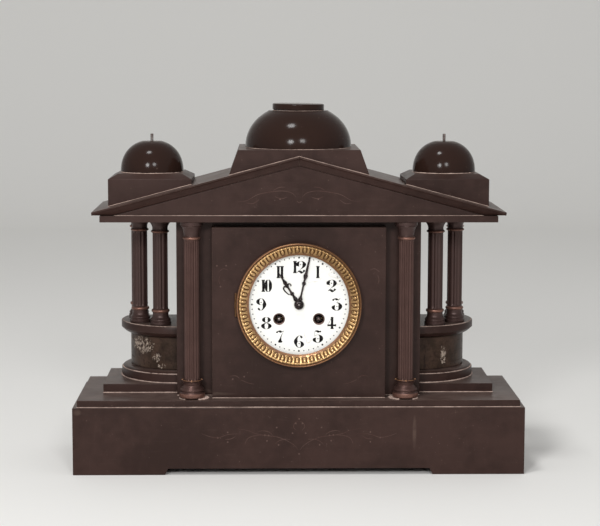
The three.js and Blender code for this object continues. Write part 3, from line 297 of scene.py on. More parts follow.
def patch_group(name):
    """A new group for a patch on the front: its tree, its mask, and two values that the mask is made from.

    One is how far off the patch's middle a place is, squared, in shares of the patch's half sizes. The other
    is 1 on the front of the clock and 0 behind it.
    """
    tree, given, mask = new_group(name, x=0.0, z=0.0, width=0.01, height=0.01)
    place = tree.nodes.new("ShaderNodeTexCoord")
    parts = tree.nodes.new("ShaderNodeSeparateXYZ")
    tree.links.new(place.outputs["Object"], parts.inputs[0])
    squares = []
    for axis, size in (("X", "Width"), ("Z", "Height")):
        away = math_node(tree, "SUBTRACT", parts.outputs[axis], given[axis])
        share = math_node(tree, "DIVIDE", away, given[size])
        squares.append(times(tree, share, share))
    forward = ramp(tree, times(tree, parts.outputs["Y"], -1.0), -0.03, -0.02)
    return tree, mask, math_node(tree, "ADD", *squares), forward


def wipe_group():
    """A faint soft wipe of dust round one place on the front."""
    tree, mask, away, forward = patch_group("Wipe")
    soft = times(tree, ramp(tree, away, 0.0, 1.0, 0.28, 0.0), ramp(tree, noise(tree, 120.0), 0.3, 0.6, 0.4))
    tree.links.new(times(tree, soft, forward), mask)
    return tree


def dulled_group():
    """A broad patch of painted shade round one place on the front, which fades out at its rim."""
    tree, mask, away, forward = patch_group("Painted shade")
    tree.links.new(times(tree, ramp(tree, away, 0.0, 1.0, 0.52, 0.0), forward), mask)
    return tree


def scuff_group():
    """A rubbed patch round one place on the front, broken up into spots."""
    tree, mask, away, forward = patch_group("Scuff")
    inside = ramp(tree, away, 0.2, 1.0, 0.14, 0.0)
    spots = math_node(tree, "ADD", noise(tree, 430.0, 8.0, 1.2, (1, 1, 0.7)), inside)
    rubbed = times(tree, ramp(tree, spots, 0.6, 0.72, 0.0, 0.85), ramp(tree, inside, 0.0, 0.05))
    tree.links.new(times(tree, rubbed, forward), mask)
    return tree


EFFECTS = {
    "edge": edge_wear_group,
    "scuff": scuff_group,
    "wipe": wipe_group,
    "painted_shade": dulled_group,
    "specks": specks_group,
    "cloud": clouding_group,
    "dust": settled_dust_group,
    "vein": veins_group,
    "marks": fine_marks_group,
}
made_groups = {}
made_finishes = {}


class Finish:
    """One material under the hand: a base colour built up layer by layer, with roughness and relief."""

    def __init__(self, name, ground, roughness, metallic=0.0, specular=0.5):
        self.material = bpy.data.materials.new(name)
        self.material.use_nodes = True
        self.tree = self.material.node_tree
        self.shader = self.tree.nodes["Principled BSDF"]
        self.shader.inputs["Metallic"].default_value = metallic
        self.shader.inputs["Specular IOR Level"].default_value = specular
        self.shader.inputs["Roughness"].default_value = roughness
        self.material.diffuse_color = (*ground, 1)
        self.ground = ground
        self.colour = None

    def mask(self, effect, **values):
        if effect not in made_groups:
            made_groups[effect] = EFFECTS[effect]()
        node = self.tree.nodes.new("ShaderNodeGroup")
        node.node_tree = made_groups[effect]
        for name, value in values.items():
            node.inputs[name.capitalize()].default_value = value
        return node.outputs["Mask"]

    def layer(self, mask, top):
        mix = self.tree.nodes.new("ShaderNodeMix")
        mix.data_type = "RGBA"
        mix.inputs[7].default_value = (*top, 1)
        self.tree.links.new(mask, mix.inputs[0])
        if self.colour:
            self.tree.links.new(self.colour, mix.inputs[6])
        else:
            mix.inputs[6].default_value = (*self.ground, 1)
        self.colour = mix.outputs[2]
        return self

    def over(self, top, effect, **values):
        """Lays a colour wherever the mask of an effect says."""
        return self.layer(self.mask(effect, **values), top)

    def patches(self, top, effect, places):
        """Lays a colour at each place: [across, up, half width, half height], in millimetres."""
        for across, up, wide, high in places:
            self.over(top, effect, x=across * MM, z=up * MM, width=wide * MM, height=high * MM)
        return self

    def rough(self, mask, low, high):
        self.tree.links.new(ramp(self.tree, mask, 0.0, 1.0, low, high), self.shader.inputs["Roughness"])
        return self

    def clouded(self, top, scale, contrast, roughness=None):
        """Clouds of another colour, which may bring a roughness for outside and inside them."""
        cloud = self.mask("cloud", scale=scale, contrast=contrast)
        self.layer(cloud, top)
        return self.rough(cloud, *roughness) if roughness else self

    def grain(self, scale, depth, strength, detail=4.0, stretch=(1, 1, 1)):
        """A fine relief of bumps, with its depth in millimetres."""
        bump = self.tree.nodes.new("ShaderNodeBump")
        bump.inputs["Strength"].default_value = strength
        bump.inputs["Distance"].default_value = depth * MM
        self.tree.links.new(noise(self.tree, scale, detail, 0.0, stretch), bump.inputs["Height"])
        self.tree.links.new(bump.outputs[0], self.shader.inputs["Normal"])
        return self

    def done(self):
        base = self.shader.inputs["Base Color"]
        if self.colour:
            self.tree.links.new(self.colour, base)
        else:
            base.default_value = (*self.ground, 1)
        return self.material


# Where dust is wiped over the slate, the drums are scuffed white, and painted shade darkens the gilding
# towards the bezel's upper right
WIPES = [(115.9, 42.8, 2.4, 21), (-94.0, 79.0, 34, 2.6), (-222.0, 64.0, 5, 4)]
SCUFFS = [(-160, 119.5, 14, 11), (-146, 108, 6, 6), (-141, 99.5, 5, 3.5), (151, 110, 4, 13)]
PAINTED_SHADE_PATCHES = [(41, 208, 84, 84)]


def slate_finish():
    s = stone()
    slate = Finish("honed slate", s.slate, 0.42, specular=0.15)
    slate.clouded(s.slate_cloud, 11.0, 0.5, (0.32, 0.46))
    slate.over(s.slate_edge, "marks", scale=40.0, amount=0.03)
    slate.over(s.slate_edge, "specks", scale=330.0, amount=0.5)
    slate.over(s.slate_edge, "edge", radius=0.8 * MM, amount=0.6)
    # Paler tops: partly settled dust, partly a painted sheen on what faces up
    slate.over(s.plaster, "dust", amount=0.15)
    slate.patches(s.slate_edge, "wipe", WIPES)
    return slate.grain(300.0, 0.2, 0.12, 5.0).done()


def polished_finish():
    s = stone()
    polish = Finish("polished slate", s.polish, 0.1, specular=0.3)
    polish.shader.inputs["IOR"].default_value = 1.3
    polish.clouded(s.slate, 22.0, 0.3)
    polish.over(s.slate_edge, "specks", scale=210.0, amount=0.4)
    # Slightly paler tops: settled dust with a little painted sheen
    polish.over(s.plaster, "dust", amount=0.06)
    polish.rough(polish.mask("marks", scale=60.0, amount=0.6), 0.14, 0.26)
    return polish.grain(90.0, 0.2, 0.05, 3.0).done()


def marble_finish():
    s = stone()
    marble = Finish("variegated marble", s.marble_dark, 0.3, specular=0.12)
    marble.clouded(s.marble_light, 60.0, 0.9)
    marble.layer(ramp(marble.tree, noise(marble.tree, 90.0, 8.0, 2.5), 0.52, 0.66, 0.0, 0.8), s.polish)
    marble.over(s.slate_edge, "specks", scale=500.0, amount=0.5)
    marble.patches(s.marble_vein, "scuff", SCUFFS)
    marble.rough(marble.mask("marks", scale=55.0, amount=1.0), 0.35, 0.55)
    return marble.grain(140.0, 0.2, 0.2, 6.0).done()


def patina(name, ground, metallic=0.6):
    bronze = Finish(name, ground, 0.42, metallic=metallic, specular=0.3)
    bronze.clouded(stone().slate_cloud, 60.0, 0.45, (0.34, 0.5))
    bronze.over(metal().copper, "edge", radius=0.6 * MM, amount=0.35)
    return bronze.grain(700.0, 0.1, 0.15, 3.0).done()


def bronze_finish():
    return patina("patinated bronze", metal().bronze)


def old_bronze_finish():
    return patina("old bronze", metal().old_bronze, 0.4)


def copper_finish():
    copper = Finish("rubbed copper", metal().copper, 0.4, metallic=0.6, specular=0.3)
    copper.clouded(metal().bronze, 120.0, 0.6, (0.34, 0.5))
    return copper.grain(700.0, 0.1, 0.2, 3.0).done()


def gilt_finish():
    m = metal()
    gilt = Finish("old gilding", m.gilt, 0.3, metallic=0.85)
    gilt.clouded(m.tarnish, 70.0, 0.35, (0.3, 0.5))
    gilt.over(m.tarnish, "marks", scale=160.0, amount=0.3)
    # Painted shade: a broad patch darkens the gilding towards the bezel's upper right
    gilt.patches(m.tarnish, "painted_shade", PAINTED_SHADE_PATCHES)
    return gilt.grain(600.0, 0.1, 0.25).done()


def rubbed_gilt_finish():
    m = metal()
    rubbed = Finish("rubbed gilding", m.rubbed, 0.4, metallic=0.7)
    rubbed.clouded(m.copper, 90.0, 0.5, (0.32, 0.5))
    # The same painted shade darkens the rubbed gilding towards the bezel's upper right
    rubbed.patches(m.tarnish, "painted_shade", PAINTED_SHADE_PATCHES)
    return rubbed.grain(600.0, 0.1, 0.2, 3.0).done()


def tarnish_finish():
    tarnish = Finish("tarnished ground", metal().tarnish, 0.6, metallic=0.6)
    return tarnish.clouded(metal().bronze, 160.0, 0.5, (0.5, 0.75)).done()


def brass_finish():
    brass = Finish("lacquered brass", metal().brass, 0.3, metallic=1.0)
    brass.clouded(metal().tarnish, 45.0, 0.35)
    brass.rough(brass.mask("marks", scale=200.0, amount=1.0), 0.24, 0.42)
    return brass.grain(260.0, 0.05, 0.2, 2.0, (1, 1, 14)).done()


def steel_finish():
    steel = Finish("worn steel", metal().steel, 0.38, metallic=1.0)
    steel.clouded(metal().bronze, 150.0, 0.8, (0.3, 0.55))
    return steel.grain(900.0, 0.05, 0.2, 3.0).done()


def hands_finish():
    m = metal()
    black = Finish("blackened steel", m.hands, 0.32, metallic=0.5)
    black.over(m.steel, "edge", radius=0.25 * MM, amount=0.25)
    return black.clouded(m.bronze, 260.0, 0.3, (0.25, 0.45)).done()


def bell_finish():
    bell = Finish("bell metal", metal().brass, 0.2, metallic=1.0)
    bell.clouded(metal().steel, 40.0, 0.6, (0.15, 0.35))
    return bell.grain(200.0, 0.05, 0.2, 2.0, (1, 14, 1)).done()


def enamel_finish():
    enamel = Finish("white enamel", dial().enamel, 0.14, specular=0.5)
    enamel.clouded(rgb(238, 236, 226), 30.0, 0.12, (0.1, 0.2))
    return enamel.over(rgb(200, 194, 184), "vein", scale=9.0, width=0.002).done()


def ink_finish():
    ink = Finish("fired black", dial().ink, 0.3, specular=0.15)
    return ink.clouded(rgb(24, 20, 22), 300.0, 0.4, (0.25, 0.4)).done()


def plaster_finish():
    plaster = Finish("joint plaster", stone().plaster, 0.9, specular=0.2)
    return plaster.clouded(stone().slate, 70.0, 0.5).grain(900.0, 0.2, 0.5).done()


def engraved_finish():
    dull = Finish("engraved stone", stone().engraved, 0.85, specular=0.15)
    return dull.clouded(stone().slate_cloud, 55.0, 1.0).grain(900.0, 0.1, 0.4).done()


def dot_finish():
    pale = Finish("engraved dot", stone().dot, 0.85, specular=0.15)
    return pale.clouded(stone().engraved, 90.0, 0.6).grain(900.0, 0.1, 0.4).done()


def glass_finish():
    """Clear where it is met squarely. Where it turns away its grey shows more and more, a painted reflection,
    and a faint haze lies on what faces up.
    """
    glass = Finish("watch glass", (0.34, 0.35, 0.35), 0.03, specular=0.5)
    turned_away = glass.tree.nodes.new("ShaderNodeLayerWeight")
    turned_away.inputs["Blend"].default_value = 0.25
    haze = glass.mask("dust", amount=0.03)
    # Painted reflection: the glass shows more of its grey where it turns away
    slant_reflection = ramp(glass.tree, turned_away.outputs["Facing"], 0.5, 1.0, 0.003, 0.16)
    covered = math_node(glass.tree, "ADD", slant_reflection, haze, clamp=True)
    glass.tree.links.new(covered, glass.shader.inputs["Alpha"])
    return glass.done()


FINISHES = {
    "slate": slate_finish,
    "polished_slate": polished_finish,
    "variegated_marble": marble_finish,
    "plaster": plaster_finish,
    "engraved": engraved_finish,
    "dot": dot_finish,
    "bronze": bronze_finish,
    "old_bronze": old_bronze_finish,
    "copper": copper_finish,
    "gilt": gilt_finish,
    "rubbed_gilt": rubbed_gilt_finish,
    "tarnish": tarnish_finish,
    "brass": brass_finish,
    "steel": steel_finish,
    "black_steel": hands_finish,
    "bell_metal": bell_finish,
    "enamel": enamel_finish,
    "ink": ink_finish,
    "glass": glass_finish,
}


def finish(name):
    if name not in made_finishes:
        made_finishes[name] = FINISHES[name]()
    return made_finishes[name]


# Mesh making


def add_piece(name, mesh, body, slot, finishes=None, stands_for=()):
    """A mesh becomes a piece: it rides on its body, takes its finish and may replace solids of the frame."""
    piece = bpy.data.objects.new(name, mesh)
    bpy.context.scene.collection.objects.link(piece)
    if not mesh.materials:
        for each in finishes or [slot]:
            mesh.materials.append(finish(each))
    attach(piece, body)
    if stands_for:
        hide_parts(*stands_for)
    return piece


def plain_mesh(bm, name):
    mesh = bpy.data.meshes.new(name)
    bm.to_mesh(mesh)
    bm.free()
    return mesh


def shade(mesh, sharp):
    """Smooth, but for edges that turn by more than so many degrees."""
    mesh.shade_smooth()
    mesh.set_sharp_from_angle(angle=math.radians(sharp))


def mesh_from(bm, name, sharp=35):
    """A closed mesh with its faces turned outwards."""
    bmesh.ops.recalc_face_normals(bm, faces=bm.faces)
    mesh = plain_mesh(bm, name)
    shade(mesh, sharp)
    return mesh


def face_front(bm):
    """Turns every face of a flat mesh to the front."""
    for face in bm.faces:
        face.normal_update()
        if face.normal.y > 0:
            face.normal_flip()


def skin(bm, rings, closed=False, finish_of=None):
    """Joins rings of points, each with the same count, and closes the ends that are open."""
    loops = [[bm.verts.new(point) for point in ring] for ring in rings]
    above = loops[1:] + loops[:1] if closed else loops[1:]
    for row, (low, high) in enumerate(zip(loops, above)):
        for i in range(len(low)):
            j = (i + 1) % len(low)
            face = bm.faces.new((low[i], low[j], high[j], high[i]))
            if finish_of:
                face.material_index = finish_of(row)
    if not closed:
        bm.faces.new(loops[0][::-1])
        bm.faces.new(loops[-1])


def turns(count):
    """The angles that part a full turn evenly."""
    return [2 * math.pi * i / count for i in range(count)]


def ring_up(centre, radius, z, sides, wave=None):
    """A level ring of points round an upright axis; wave gives what each direction adds to the radius."""
    points = []
    for angle in turns(sides):
        out = radius + (wave(angle) if wave else 0)
        points.append(Vector((centre[0] + out * math.cos(angle), centre[1] + out * math.sin(angle), z)))
    return points


def ring_front(centre, radius, y, sides):
    """A ring of points that faces the front, round an axis that runs back."""
    return [
        Vector((centre[0] + radius * math.cos(angle), y, centre[1] + radius * math.sin(angle)))
        for angle in turns(sides)
    ]


def stack_up(centre, foot, profile, sides):
    """Level rings from a profile of [radius, height above the foot], in millimetres."""
    return [ring_up(centre, radius * MM, foot + z * MM, sides) for radius, z in profile]


def stack_front(centre, front, profile, sides):
    """Rings that face the front, from a profile of [radius, distance behind the front], in millimetres."""
    return [ring_front(centre, radius * MM, front + y * MM, sides) for radius, y in profile]


def disc(bm, centre, radius, y, sides):
    bm.faces.new([bm.verts.new(point) for point in ring_front(centre, radius, y, sides)])


def between(a, b, c, d, t):
    """The value at a share t of the way from b to c, on a smooth curve that comes from a and goes to d."""
    bend = (2 * a - 5 * b + 4 * c - d) * t ** 2 + (3 * b - a - 3 * c + d) * t ** 3
    return 0.5 * (2 * b + (c - a) * t + bend)


def eased(profile, cuts=4):
    """Runs a smooth curve through a profile. A point given twice stays sharp."""
    smooth = []
    last = len(profile) - 1
    for i in range(last):
        start, end = profile[i], profile[i + 1]
        if start == end:
            continue
        near = list(zip(profile[max(i - 1, 0)], start, end, profile[min(i + 2, last)]))
        for cut in range(cuts):
            smooth.append(tuple(between(*values, cut / cuts) for values in near))
    smooth.append(profile[-1])
    return smooth


def way_across(points, i):
    """The step of length 1 to the left of a line of [across, up] points, where it passes one of them."""
    ahead = points[min(i + 1, len(points) - 1)]
    behind = points[max(i - 1, 0)]
    run = Vector((ahead[0] - behind[0], ahead[1] - behind[1])).normalized()
    return Vector((-run.y, run.x))


def centre_of(node):
    low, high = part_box(node)
    return (low + high) / 2


def rounded_copy(node):
    """The solid of a flat stone, as slate with its arrises worn round."""
    bm = bmesh.new()
    bm.from_mesh(frame["nodes"][node].data)
    bmesh.ops.remove_doubles(bm, verts=bm.verts, dist=0.01 * MM)
    bmesh.ops.dissolve_limit(bm, angle_limit=math.radians(1), verts=bm.verts, edges=bm.edges)
    mesh = plain_mesh(bm, f"stone_{node}")
    piece = add_piece(f"stone_{node}", mesh, "case", "slate", stands_for=[node])
    bevel = piece.modifiers.new("worn arris", "BEVEL")
    bevel.width = stone().arris
    bevel.segments = 3
    bevel.limit_method = "ANGLE"
    bevel.angle_limit = math.radians(25)
    shade(mesh, 40)
    return piece


# Stones

SIDES = {"left": -1, "right": 1}
# The plinth is this much thinner at front and back, so that its engraving stays inside its own size
ENGRAVING_ROOM = 0.06 * MM
# A roof slab's thickness straight down, its front fillet, the height of its tip, and where its underside ends
ROOF_THICK = 9 * MM
ROOF_FILLET = 1.4 * MM
ROOF_TIP = 3.4 * MM
ROOF_FOOT = 185.06 * MM
# The axis that a pedestal is turned on: how far out, and how far back
PEDESTAL_OUT = 124.0 * MM
PEDESTAL_BACK = 40.5 * MM
# The hole in a side dome for its pin, and how far the dome is ground flat round it
SOCKET_RADIUS = 1.9 * MM
SOCKET_DEPTH = 5 * MM
GROUND_FLAT = 1.1 * MM
# A pin over its thread, the thread's depth, and how much thinner the pin is at its ends
PIN_RADIUS = 1.62 * MM
THREAD_DEPTH = 0.32 * MM
PIN_END = 0.35 * MM
# How many sides the large turnings have
TURNED = 128
STONES = [
    "plinth", "base_slab", "step_slab", "front_wall", "dial_panel", "back_wall", "side_wall_left",
    "side_wall_right", "architrave", "tympanum", "back_gable", "roof_left", "roof_right", "corner_block_left",
    "corner_block_right", "dome_block",
]


class DressStones(bpy.types.Operator):
    """Rounds the arrises of the flat stones and gives them the honed slate."""

    bl_idname = "clock.dress_stones"
    bl_label = "Dress the flat stones"

    def execute(self, context):
        for node in STONES:
            if node.startswith("roof"):
                self.rake(node)
                continue
            piece = rounded_copy(node)
            if node == "plinth":
                thinner = 1 - ENGRAVING_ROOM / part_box(node)[1].y
                piece.data.transform(Matrix.Scale(thinner, 4, Vector((0, 1, 0))))
        return {"FINISHED"}

    def rake(self, node):
        """A roof slab whose front edge has a narrow fillet, and under it a long chamfer."""
        low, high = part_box(node)
        sign = 1 if low.x + high.x > 0 else -1
        ridge, eave = (low.x, high.x) if sign > 0 else (high.x, low.x)
        slope = (high.z - ROOF_THICK - low.z) / (ROOF_FOOT - abs(ridge))
        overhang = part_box("tympanum")[0].y - low.y
        edge = [(0.0, 0.0), (0.4 * MM, 0.0), (ROOF_FILLET, 0.0)]
        for i in range(1, 9):
            share = i / 8
            down = ROOF_FILLET + (ROOF_THICK - ROOF_FILLET) * share
            edge.append((down, overhang * (0.12 + 0.76 * share ** 0.85)))
        rings = []
        for x in (ridge, sign * ROOF_FOOT, eave):
            top = high.z - slope * abs(x - ridge)
            ring = [Vector((x, low.y + back, max(top - down, low.z))) for down, back in edge]
            ring += [Vector((x, high.y, max(top - ROOF_THICK, low.z))), Vector((x, high.y, top))]
            rings.append(ring)
        bm = bmesh.new()
        skin(bm, rings)
        bmesh.ops.remove_doubles(bm, verts=bm.verts, dist=0.005 * MM)
        add_piece(f"stone_{node}", mesh_from(bm, node, 40), "case", "slate", stands_for=[node])


class TurnPedestals(bpy.types.Operator):
    """Turns the round-fronted pedestals: base, marble drum and cap on each side."""

    bl_idname = "clock.turn_pedestals"
    bl_label = "Turn the pedestals"

    def execute(self, context):
        base = [(61.1, 0), (61.5, 0.4), (61.5, 8.1), (61.1, 8.5)]
        base += eased([(60.6, 8.6), (59.4, 10.1), (56.4, 11.2), (52.2, 11.6)], 5)
        drum = [(51.3, 0), (51.7, 0.4), (51.7, 33.0), (51.3, 33.4)]
        cap = eased([(52.4, 0), (54.6, 0.4), (57.6, 2.0), (59.7, 3.9), (60.4, 5.0)], 5)
        cap += [(61.2, 5.2), (61.5, 5.5), (61.5, 11.4), (61.3, 11.9), (60.8, 12.2), (60.2, 12.3)]
        for side, sign in SIDES.items():
            self.turned(f"pedestal_base_{side}", sign, base, "slate")
            self.turned(f"pedestal_drum_{side}", sign, drum, "variegated_marble")
            self.turned(f"pedestal_cap_{side}", sign, cap, "slate")
        return {"FINISHED"}

    def turned(self, node, sign, profile, slot):
        """A full turning, cut away where it meets the body and the back."""
        low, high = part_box(node)
        bm = bmesh.new()
        skin(bm, stack_up((sign * PEDESTAL_OUT, PEDESTAL_BACK), low.z, profile, TURNED))
        inner = low.x if sign > 0 else high.x
        cuts = [((inner, 0, 0), (-sign, 0, 0)), ((0, high.y, 0), (0, 1, 0))]
        for place, away in cuts:
            everything = bm.verts[:] + bm.edges[:] + bm.faces[:]
            cut = bmesh.ops.bisect_plane(bm, geom=everything, plane_co=place, plane_no=away, clear_outer=True)
            edges = [e for e in cut["geom_cut"] if isinstance(e, bmesh.types.BMEdge)]
            bmesh.ops.contextual_create(bm, geom=edges)
        add_piece(f"turned_{node}", mesh_from(bm, node, 30), "case", slot, stands_for=[node])


class TurnDomes(bpy.types.Operator):
    """Turns the three polished domes and the flat cap on the middle one."""

    bl_idname = "clock.turn_domes"
    bl_label = "Turn the domes"

    def execute(self, context):
        for side in SIDES:
            self.dome(f"side_dome_{side}", 32.1, 2.22, SOCKET_RADIUS)
        self.dome("central_dome", 43.4, 2.1)
        self.cap()
        return {"FINISHED"}

    def dome(self, node, full_height, fullness, socket=0.0):
        """A dome between a round and a square one. One with a socket for a pin is ground flat round it."""
        low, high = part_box(node)
        top = high.z - low.z - (GROUND_FLAT if socket else 0)
        rows = []
        steps = 40
        for i in range(steps + 1):
            angle = math.pi / 2 * i / steps
            z = full_height * MM * math.sin(angle) ** (2 / fullness)
            radius = (high.x - low.x) / 2 * math.cos(angle) ** (2 / fullness)
            if z > top or radius < socket:
                break
            rows.append((radius, low.z + z))
        last, reached = rows[-1]
        if socket:
            rows.append((last - 0.8 * MM, low.z + top - 0.02 * MM))
            rows.append((socket, low.z + top))
            rows.append((socket, high.z - SOCKET_DEPTH))
        elif reached < high.z:
            rows.append((last - 0.5 * MM, high.z))
        bm = bmesh.new()
        skin(bm, [ring_up(centre_of(node), radius, z, TURNED) for radius, z in rows])
        add_piece(f"polished_{node}", mesh_from(bm, node, 50), "case", "polished_slate", stands_for=[node])

    def cap(self):
        """The flat cap, which lies a little lower at its right."""
        node = "dome_cap"
        low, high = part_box(node)
        r = (high.x - low.x) / 2 / MM
        h = (high.z - low.z) / MM
        edge = [(r - 0.9, 0), (r - 0.9, 0), (r - 0.2, 0.3), (r, 1.0), (r, 1.0), (r, h - 1.2), (r, h - 1.2)]
        edge += [(r - 0.3, h - 0.4), (r - 1.2, h)]
        profile = [(radius, (z - h / 2) * 0.9) for radius, z in eased(edge, 3)]
        bm = bmesh.new()
        skin(bm, stack_up((0, 0), 0, profile, TURNED))
        lean = Matrix.Translation(centre_of(node)) @ Matrix.Rotation(math.radians(0.75), 4, "Y")
        bmesh.ops.transform(bm, matrix=lean, verts=bm.verts)
        add_piece(f"polished_{node}", mesh_from(bm, node, 50), "case", "polished_slate", stands_for=[node])


class CutPins(bpy.types.Operator):
    """Cuts the thread on the two bare pins."""

    bl_idname = "clock.cut_pins"
    bl_label = "Cut the pins"

    def execute(self, context):
        for side in SIDES:
            self.thread(f"finial_pin_{side}")
        return {"FINISHED"}

    def thread(self, node):
        """A pin, built up of six rings for each turn of its thread."""
        low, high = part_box(node)
        pitch = metal().pin_pitch
        last = int((high.z - low.z) / pitch * 6)
        rings = []
        for row in range(last + 1):
            z = low.z + (high.z - low.z) * row / last

            def groove(angle, z=z):
                along = ((z - low.z) / pitch - angle / (2 * math.pi)) % 1
                return -THREAD_DEPTH * abs(2 * along - 1)
            radius = PIN_RADIUS - (PIN_END if row in (0, last) else 0)
            rings.append(ring_up(centre_of(node), radius, z, 24, groove))
        bm = bmesh.new()
        skin(bm, rings)
        add_piece(f"threaded_{node}", mesh_from(bm, node, 60), "case", "steel", stands_for=[node])


# Columns

# A row is [height above the bottom, radius], in millimetres. A point given twice stays sharp.

SMALL_BASE = [(0, 10.7), (0, 10.7), (0.3, 10.8), (2.9, 10.8), (2.9, 10.8), (3.4, 10.1), (3.9, 10.0),
              (4.4, 10.3), (5.1, 10.4), (5.8, 10.2), (6.6, 9.5), (8.2, 8.5), (10.4, 8.1), (12.8, 8.2),
              (12.8, 8.2), (13.2, 8.9), (13.9, 9.3), (14.9, 9.3), (15.7, 8.9), (16.1, 8.1), (16.1, 8.1),
              (16.8, 7.6)]
SMALL_CAPITAL = [(0, 7.7), (0, 7.7), (0.4, 8.6), (1.1, 9.3), (1.9, 9.3), (2.6, 8.7), (2.9, 8.1), (2.9, 8.1),
                 (4.2, 7.9), (6.0, 8.0), (7.8, 8.6), (9.4, 9.5), (10.6, 10.3), (10.6, 10.3), (11.4, 10.5),
                 (12.2, 10.3), (12.2, 10.3), (12.5, 9.8), (12.9, 10.2), (16.2, 10.2)]
LARGE_BASE = [(0, 12.0), (0.6, 12.6), (1.7, 12.9), (3.2, 13.0), (4.8, 12.9), (6.0, 12.4), (6.7, 11.6),
              (6.7, 11.6), (7.1, 11.5), (7.1, 11.5), (7.6, 12.1), (8.6, 12.3), (9.6, 11.9), (10.6, 10.9),
              (11.6, 9.8), (12.6, 9.0), (13.4, 8.8), (13.4, 8.8)]
LARGE_CAPITAL = [(0, 7.6), (0, 7.6), (0.3, 8.4), (1.0, 8.8), (1.8, 8.8), (2.5, 8.4), (2.8, 7.8), (2.8, 7.8),
                 (3.2, 8.1), (3.7, 8.2), (4.2, 7.8), (4.2, 7.8), (6.0, 7.9), (9.0, 8.4), (11.5, 9.3),
                 (12.8, 10.0), (12.8, 10.0), (13.4, 10.2), (14.0, 10.0), (14.0, 10.0), (14.4, 11.4),
                 (14.4, 11.4), (17.8, 11.5)]


# For each size of column: base, capital, shaft radius, count of flutes, sides of a ring, and where its lower
# copper ring starts and ends. The upper ring starts with the capital, and its height is the same for both.
SMALL = (SMALL_BASE, SMALL_CAPITAL, 7.8, 10, 120, (12.9, 16.2))
# On the large columns the lower copper band covers only the bulge of the base's torus: rubbed copper, and a
# painted highlight there
LARGE = (LARGE_BASE, LARGE_CAPITAL, 7.6, 16, 160, (1.4, 5.4))
UPPER_RING = 2.8
# How a flute deepens from its end: [distance along, share of its depth]
RUN_OUT = [(0, 0), (0.8, 0.55), (1.8, 0.85), (3.2, 1)]
# The crown of leaves on a large column's base: [height, radius, how much the leaves stand out]
CROWN = [
    (0.2, 8.4, 0.0), (1.2, 8.6, 0.5), (2.6, 8.8, 0.8), (3.8, 9.4, 1.0), (4.6, 10.0, 1.2), (5.0, 9.6, 1.2),
    (5.0, 8.2, 0.6), (4.6, 7.6, 0.0),
]
CROWN_HEIGHT = 5.0


def fluted_rings(centre, bottom, top, radius, flutes, sides):
    """Hollow flutes with a flat fillet between, run out round at both ends."""
    depth = metal().flute_depth
    full_length = (top - bottom) / MM
    rows = RUN_OUT + [(full_length - along, full) for along, full in reversed(RUN_OUT)]
    rings = []
    for height, full in rows:
        def flute(angle, full=full):
            across = math.cos(angle * flutes)
            return -depth * full * max(0.0, across + 0.45) ** 0.6 / 1.25
        rings.append(ring_up(centre, radius, bottom + height * MM, sides, flute))
    return rings


class FluteColumns(bpy.types.Operator):
    """Turns and flutes the six small and the two large bronze columns."""

    bl_idname = "clock.flute_columns"
    bl_label = "Flute the columns"

    def execute(self, context):
        for side in SIDES:
            for where in ("front", "outer", "back"):
                self.column(f"small_column_{side}_{where}", *SMALL)
            self.column(f"large_column_{side}", *LARGE, crown=True)
        return {"FINISHED"}

    def column(self, node, base, capital, shaft, flutes, sides, lower_ring, crown=False):
        low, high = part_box(node)
        centre = centre_of(node)
        start = high.z - capital[-1][0] * MM
        rings = [ring_up(centre, r * MM, low.z + z * MM, sides) for z, r in eased(base, 3)]
        if crown:
            rings += self.leaves(centre, low.z + base[-1][0] * MM, sides)
        rings += fluted_rings(centre, rings[-1][0].z, start, shaft * MM, flutes, sides)
        rings += [ring_up(centre, r * MM, start + z * MM, sides) for z, r in eased(capital, 3)]
        copper = [tuple(low.z + z * MM for z in lower_ring), (start, start + UPPER_RING * MM)]
        heights = [ring[0].z for ring in rings]

        def finish_at(row):
            """0 for the shaft, 1 for a copper ring, 2 for the dark bell of the capital."""
            middle = (heights[row] + heights[row + 1]) / 2
            if any(bottom < middle < top for bottom, top in copper):
                return 1
            return 2 if middle > copper[1][1] else 0
        bm = bmesh.new()
        skin(bm, rings, finish_of=finish_at)
        looks = ["bronze" if crown else "old_bronze", "copper", "old_bronze"]
        add_piece(f"cast_{node}", mesh_from(bm, node, 30), "case", "bronze", looks, stands_for=[node])
        if crown:
            self.pearls(node, centre, low.z + (base[-1][0] + CROWN_HEIGHT) * MM)

    def pearls(self, node, centre, height):
        """A small round bead on the tip of each leaf, and the thin rim between them, all in pale rubbed
        gilding; on the rim that pale colour is a painted highlight along the crown's top edge.
        """
        bm = bmesh.new()
        # The rim's pale colour stands for the highlight along the crown's top edge: painted highlight
        rim = [(9.0, -0.2), (9.9, -0.2), (9.9, 0.25), (9.0, 0.25)]
        skin(bm, stack_up(centre, height, rim, 96), closed=True)
        for spot in ring_up(centre, 9.8 * MM, height, 4):
            place = Matrix.Translation(spot)
            bmesh.ops.create_uvsphere(bm, u_segments=12, v_segments=8, radius=1.0 * MM, matrix=place)
        add_piece(f"pearls_{node}", mesh_from(bm, "pearls"), "case", "bronze", ["rubbed_gilt"])

    def leaves(self, centre, bottom, sides):
        """A crown of four leaves that grows out of the base and curls over at the top."""
        rings = []
        for height, radius, curl in CROWN:
            def leaf(angle, curl=curl):
                return 0.9 * MM * curl * (abs(math.cos(angle * 2)) - 0.5)
            rings.append(ring_up(centre, radius * MM, bottom + height * MM, sides, leaf))
        return rings


# Engraving and joints

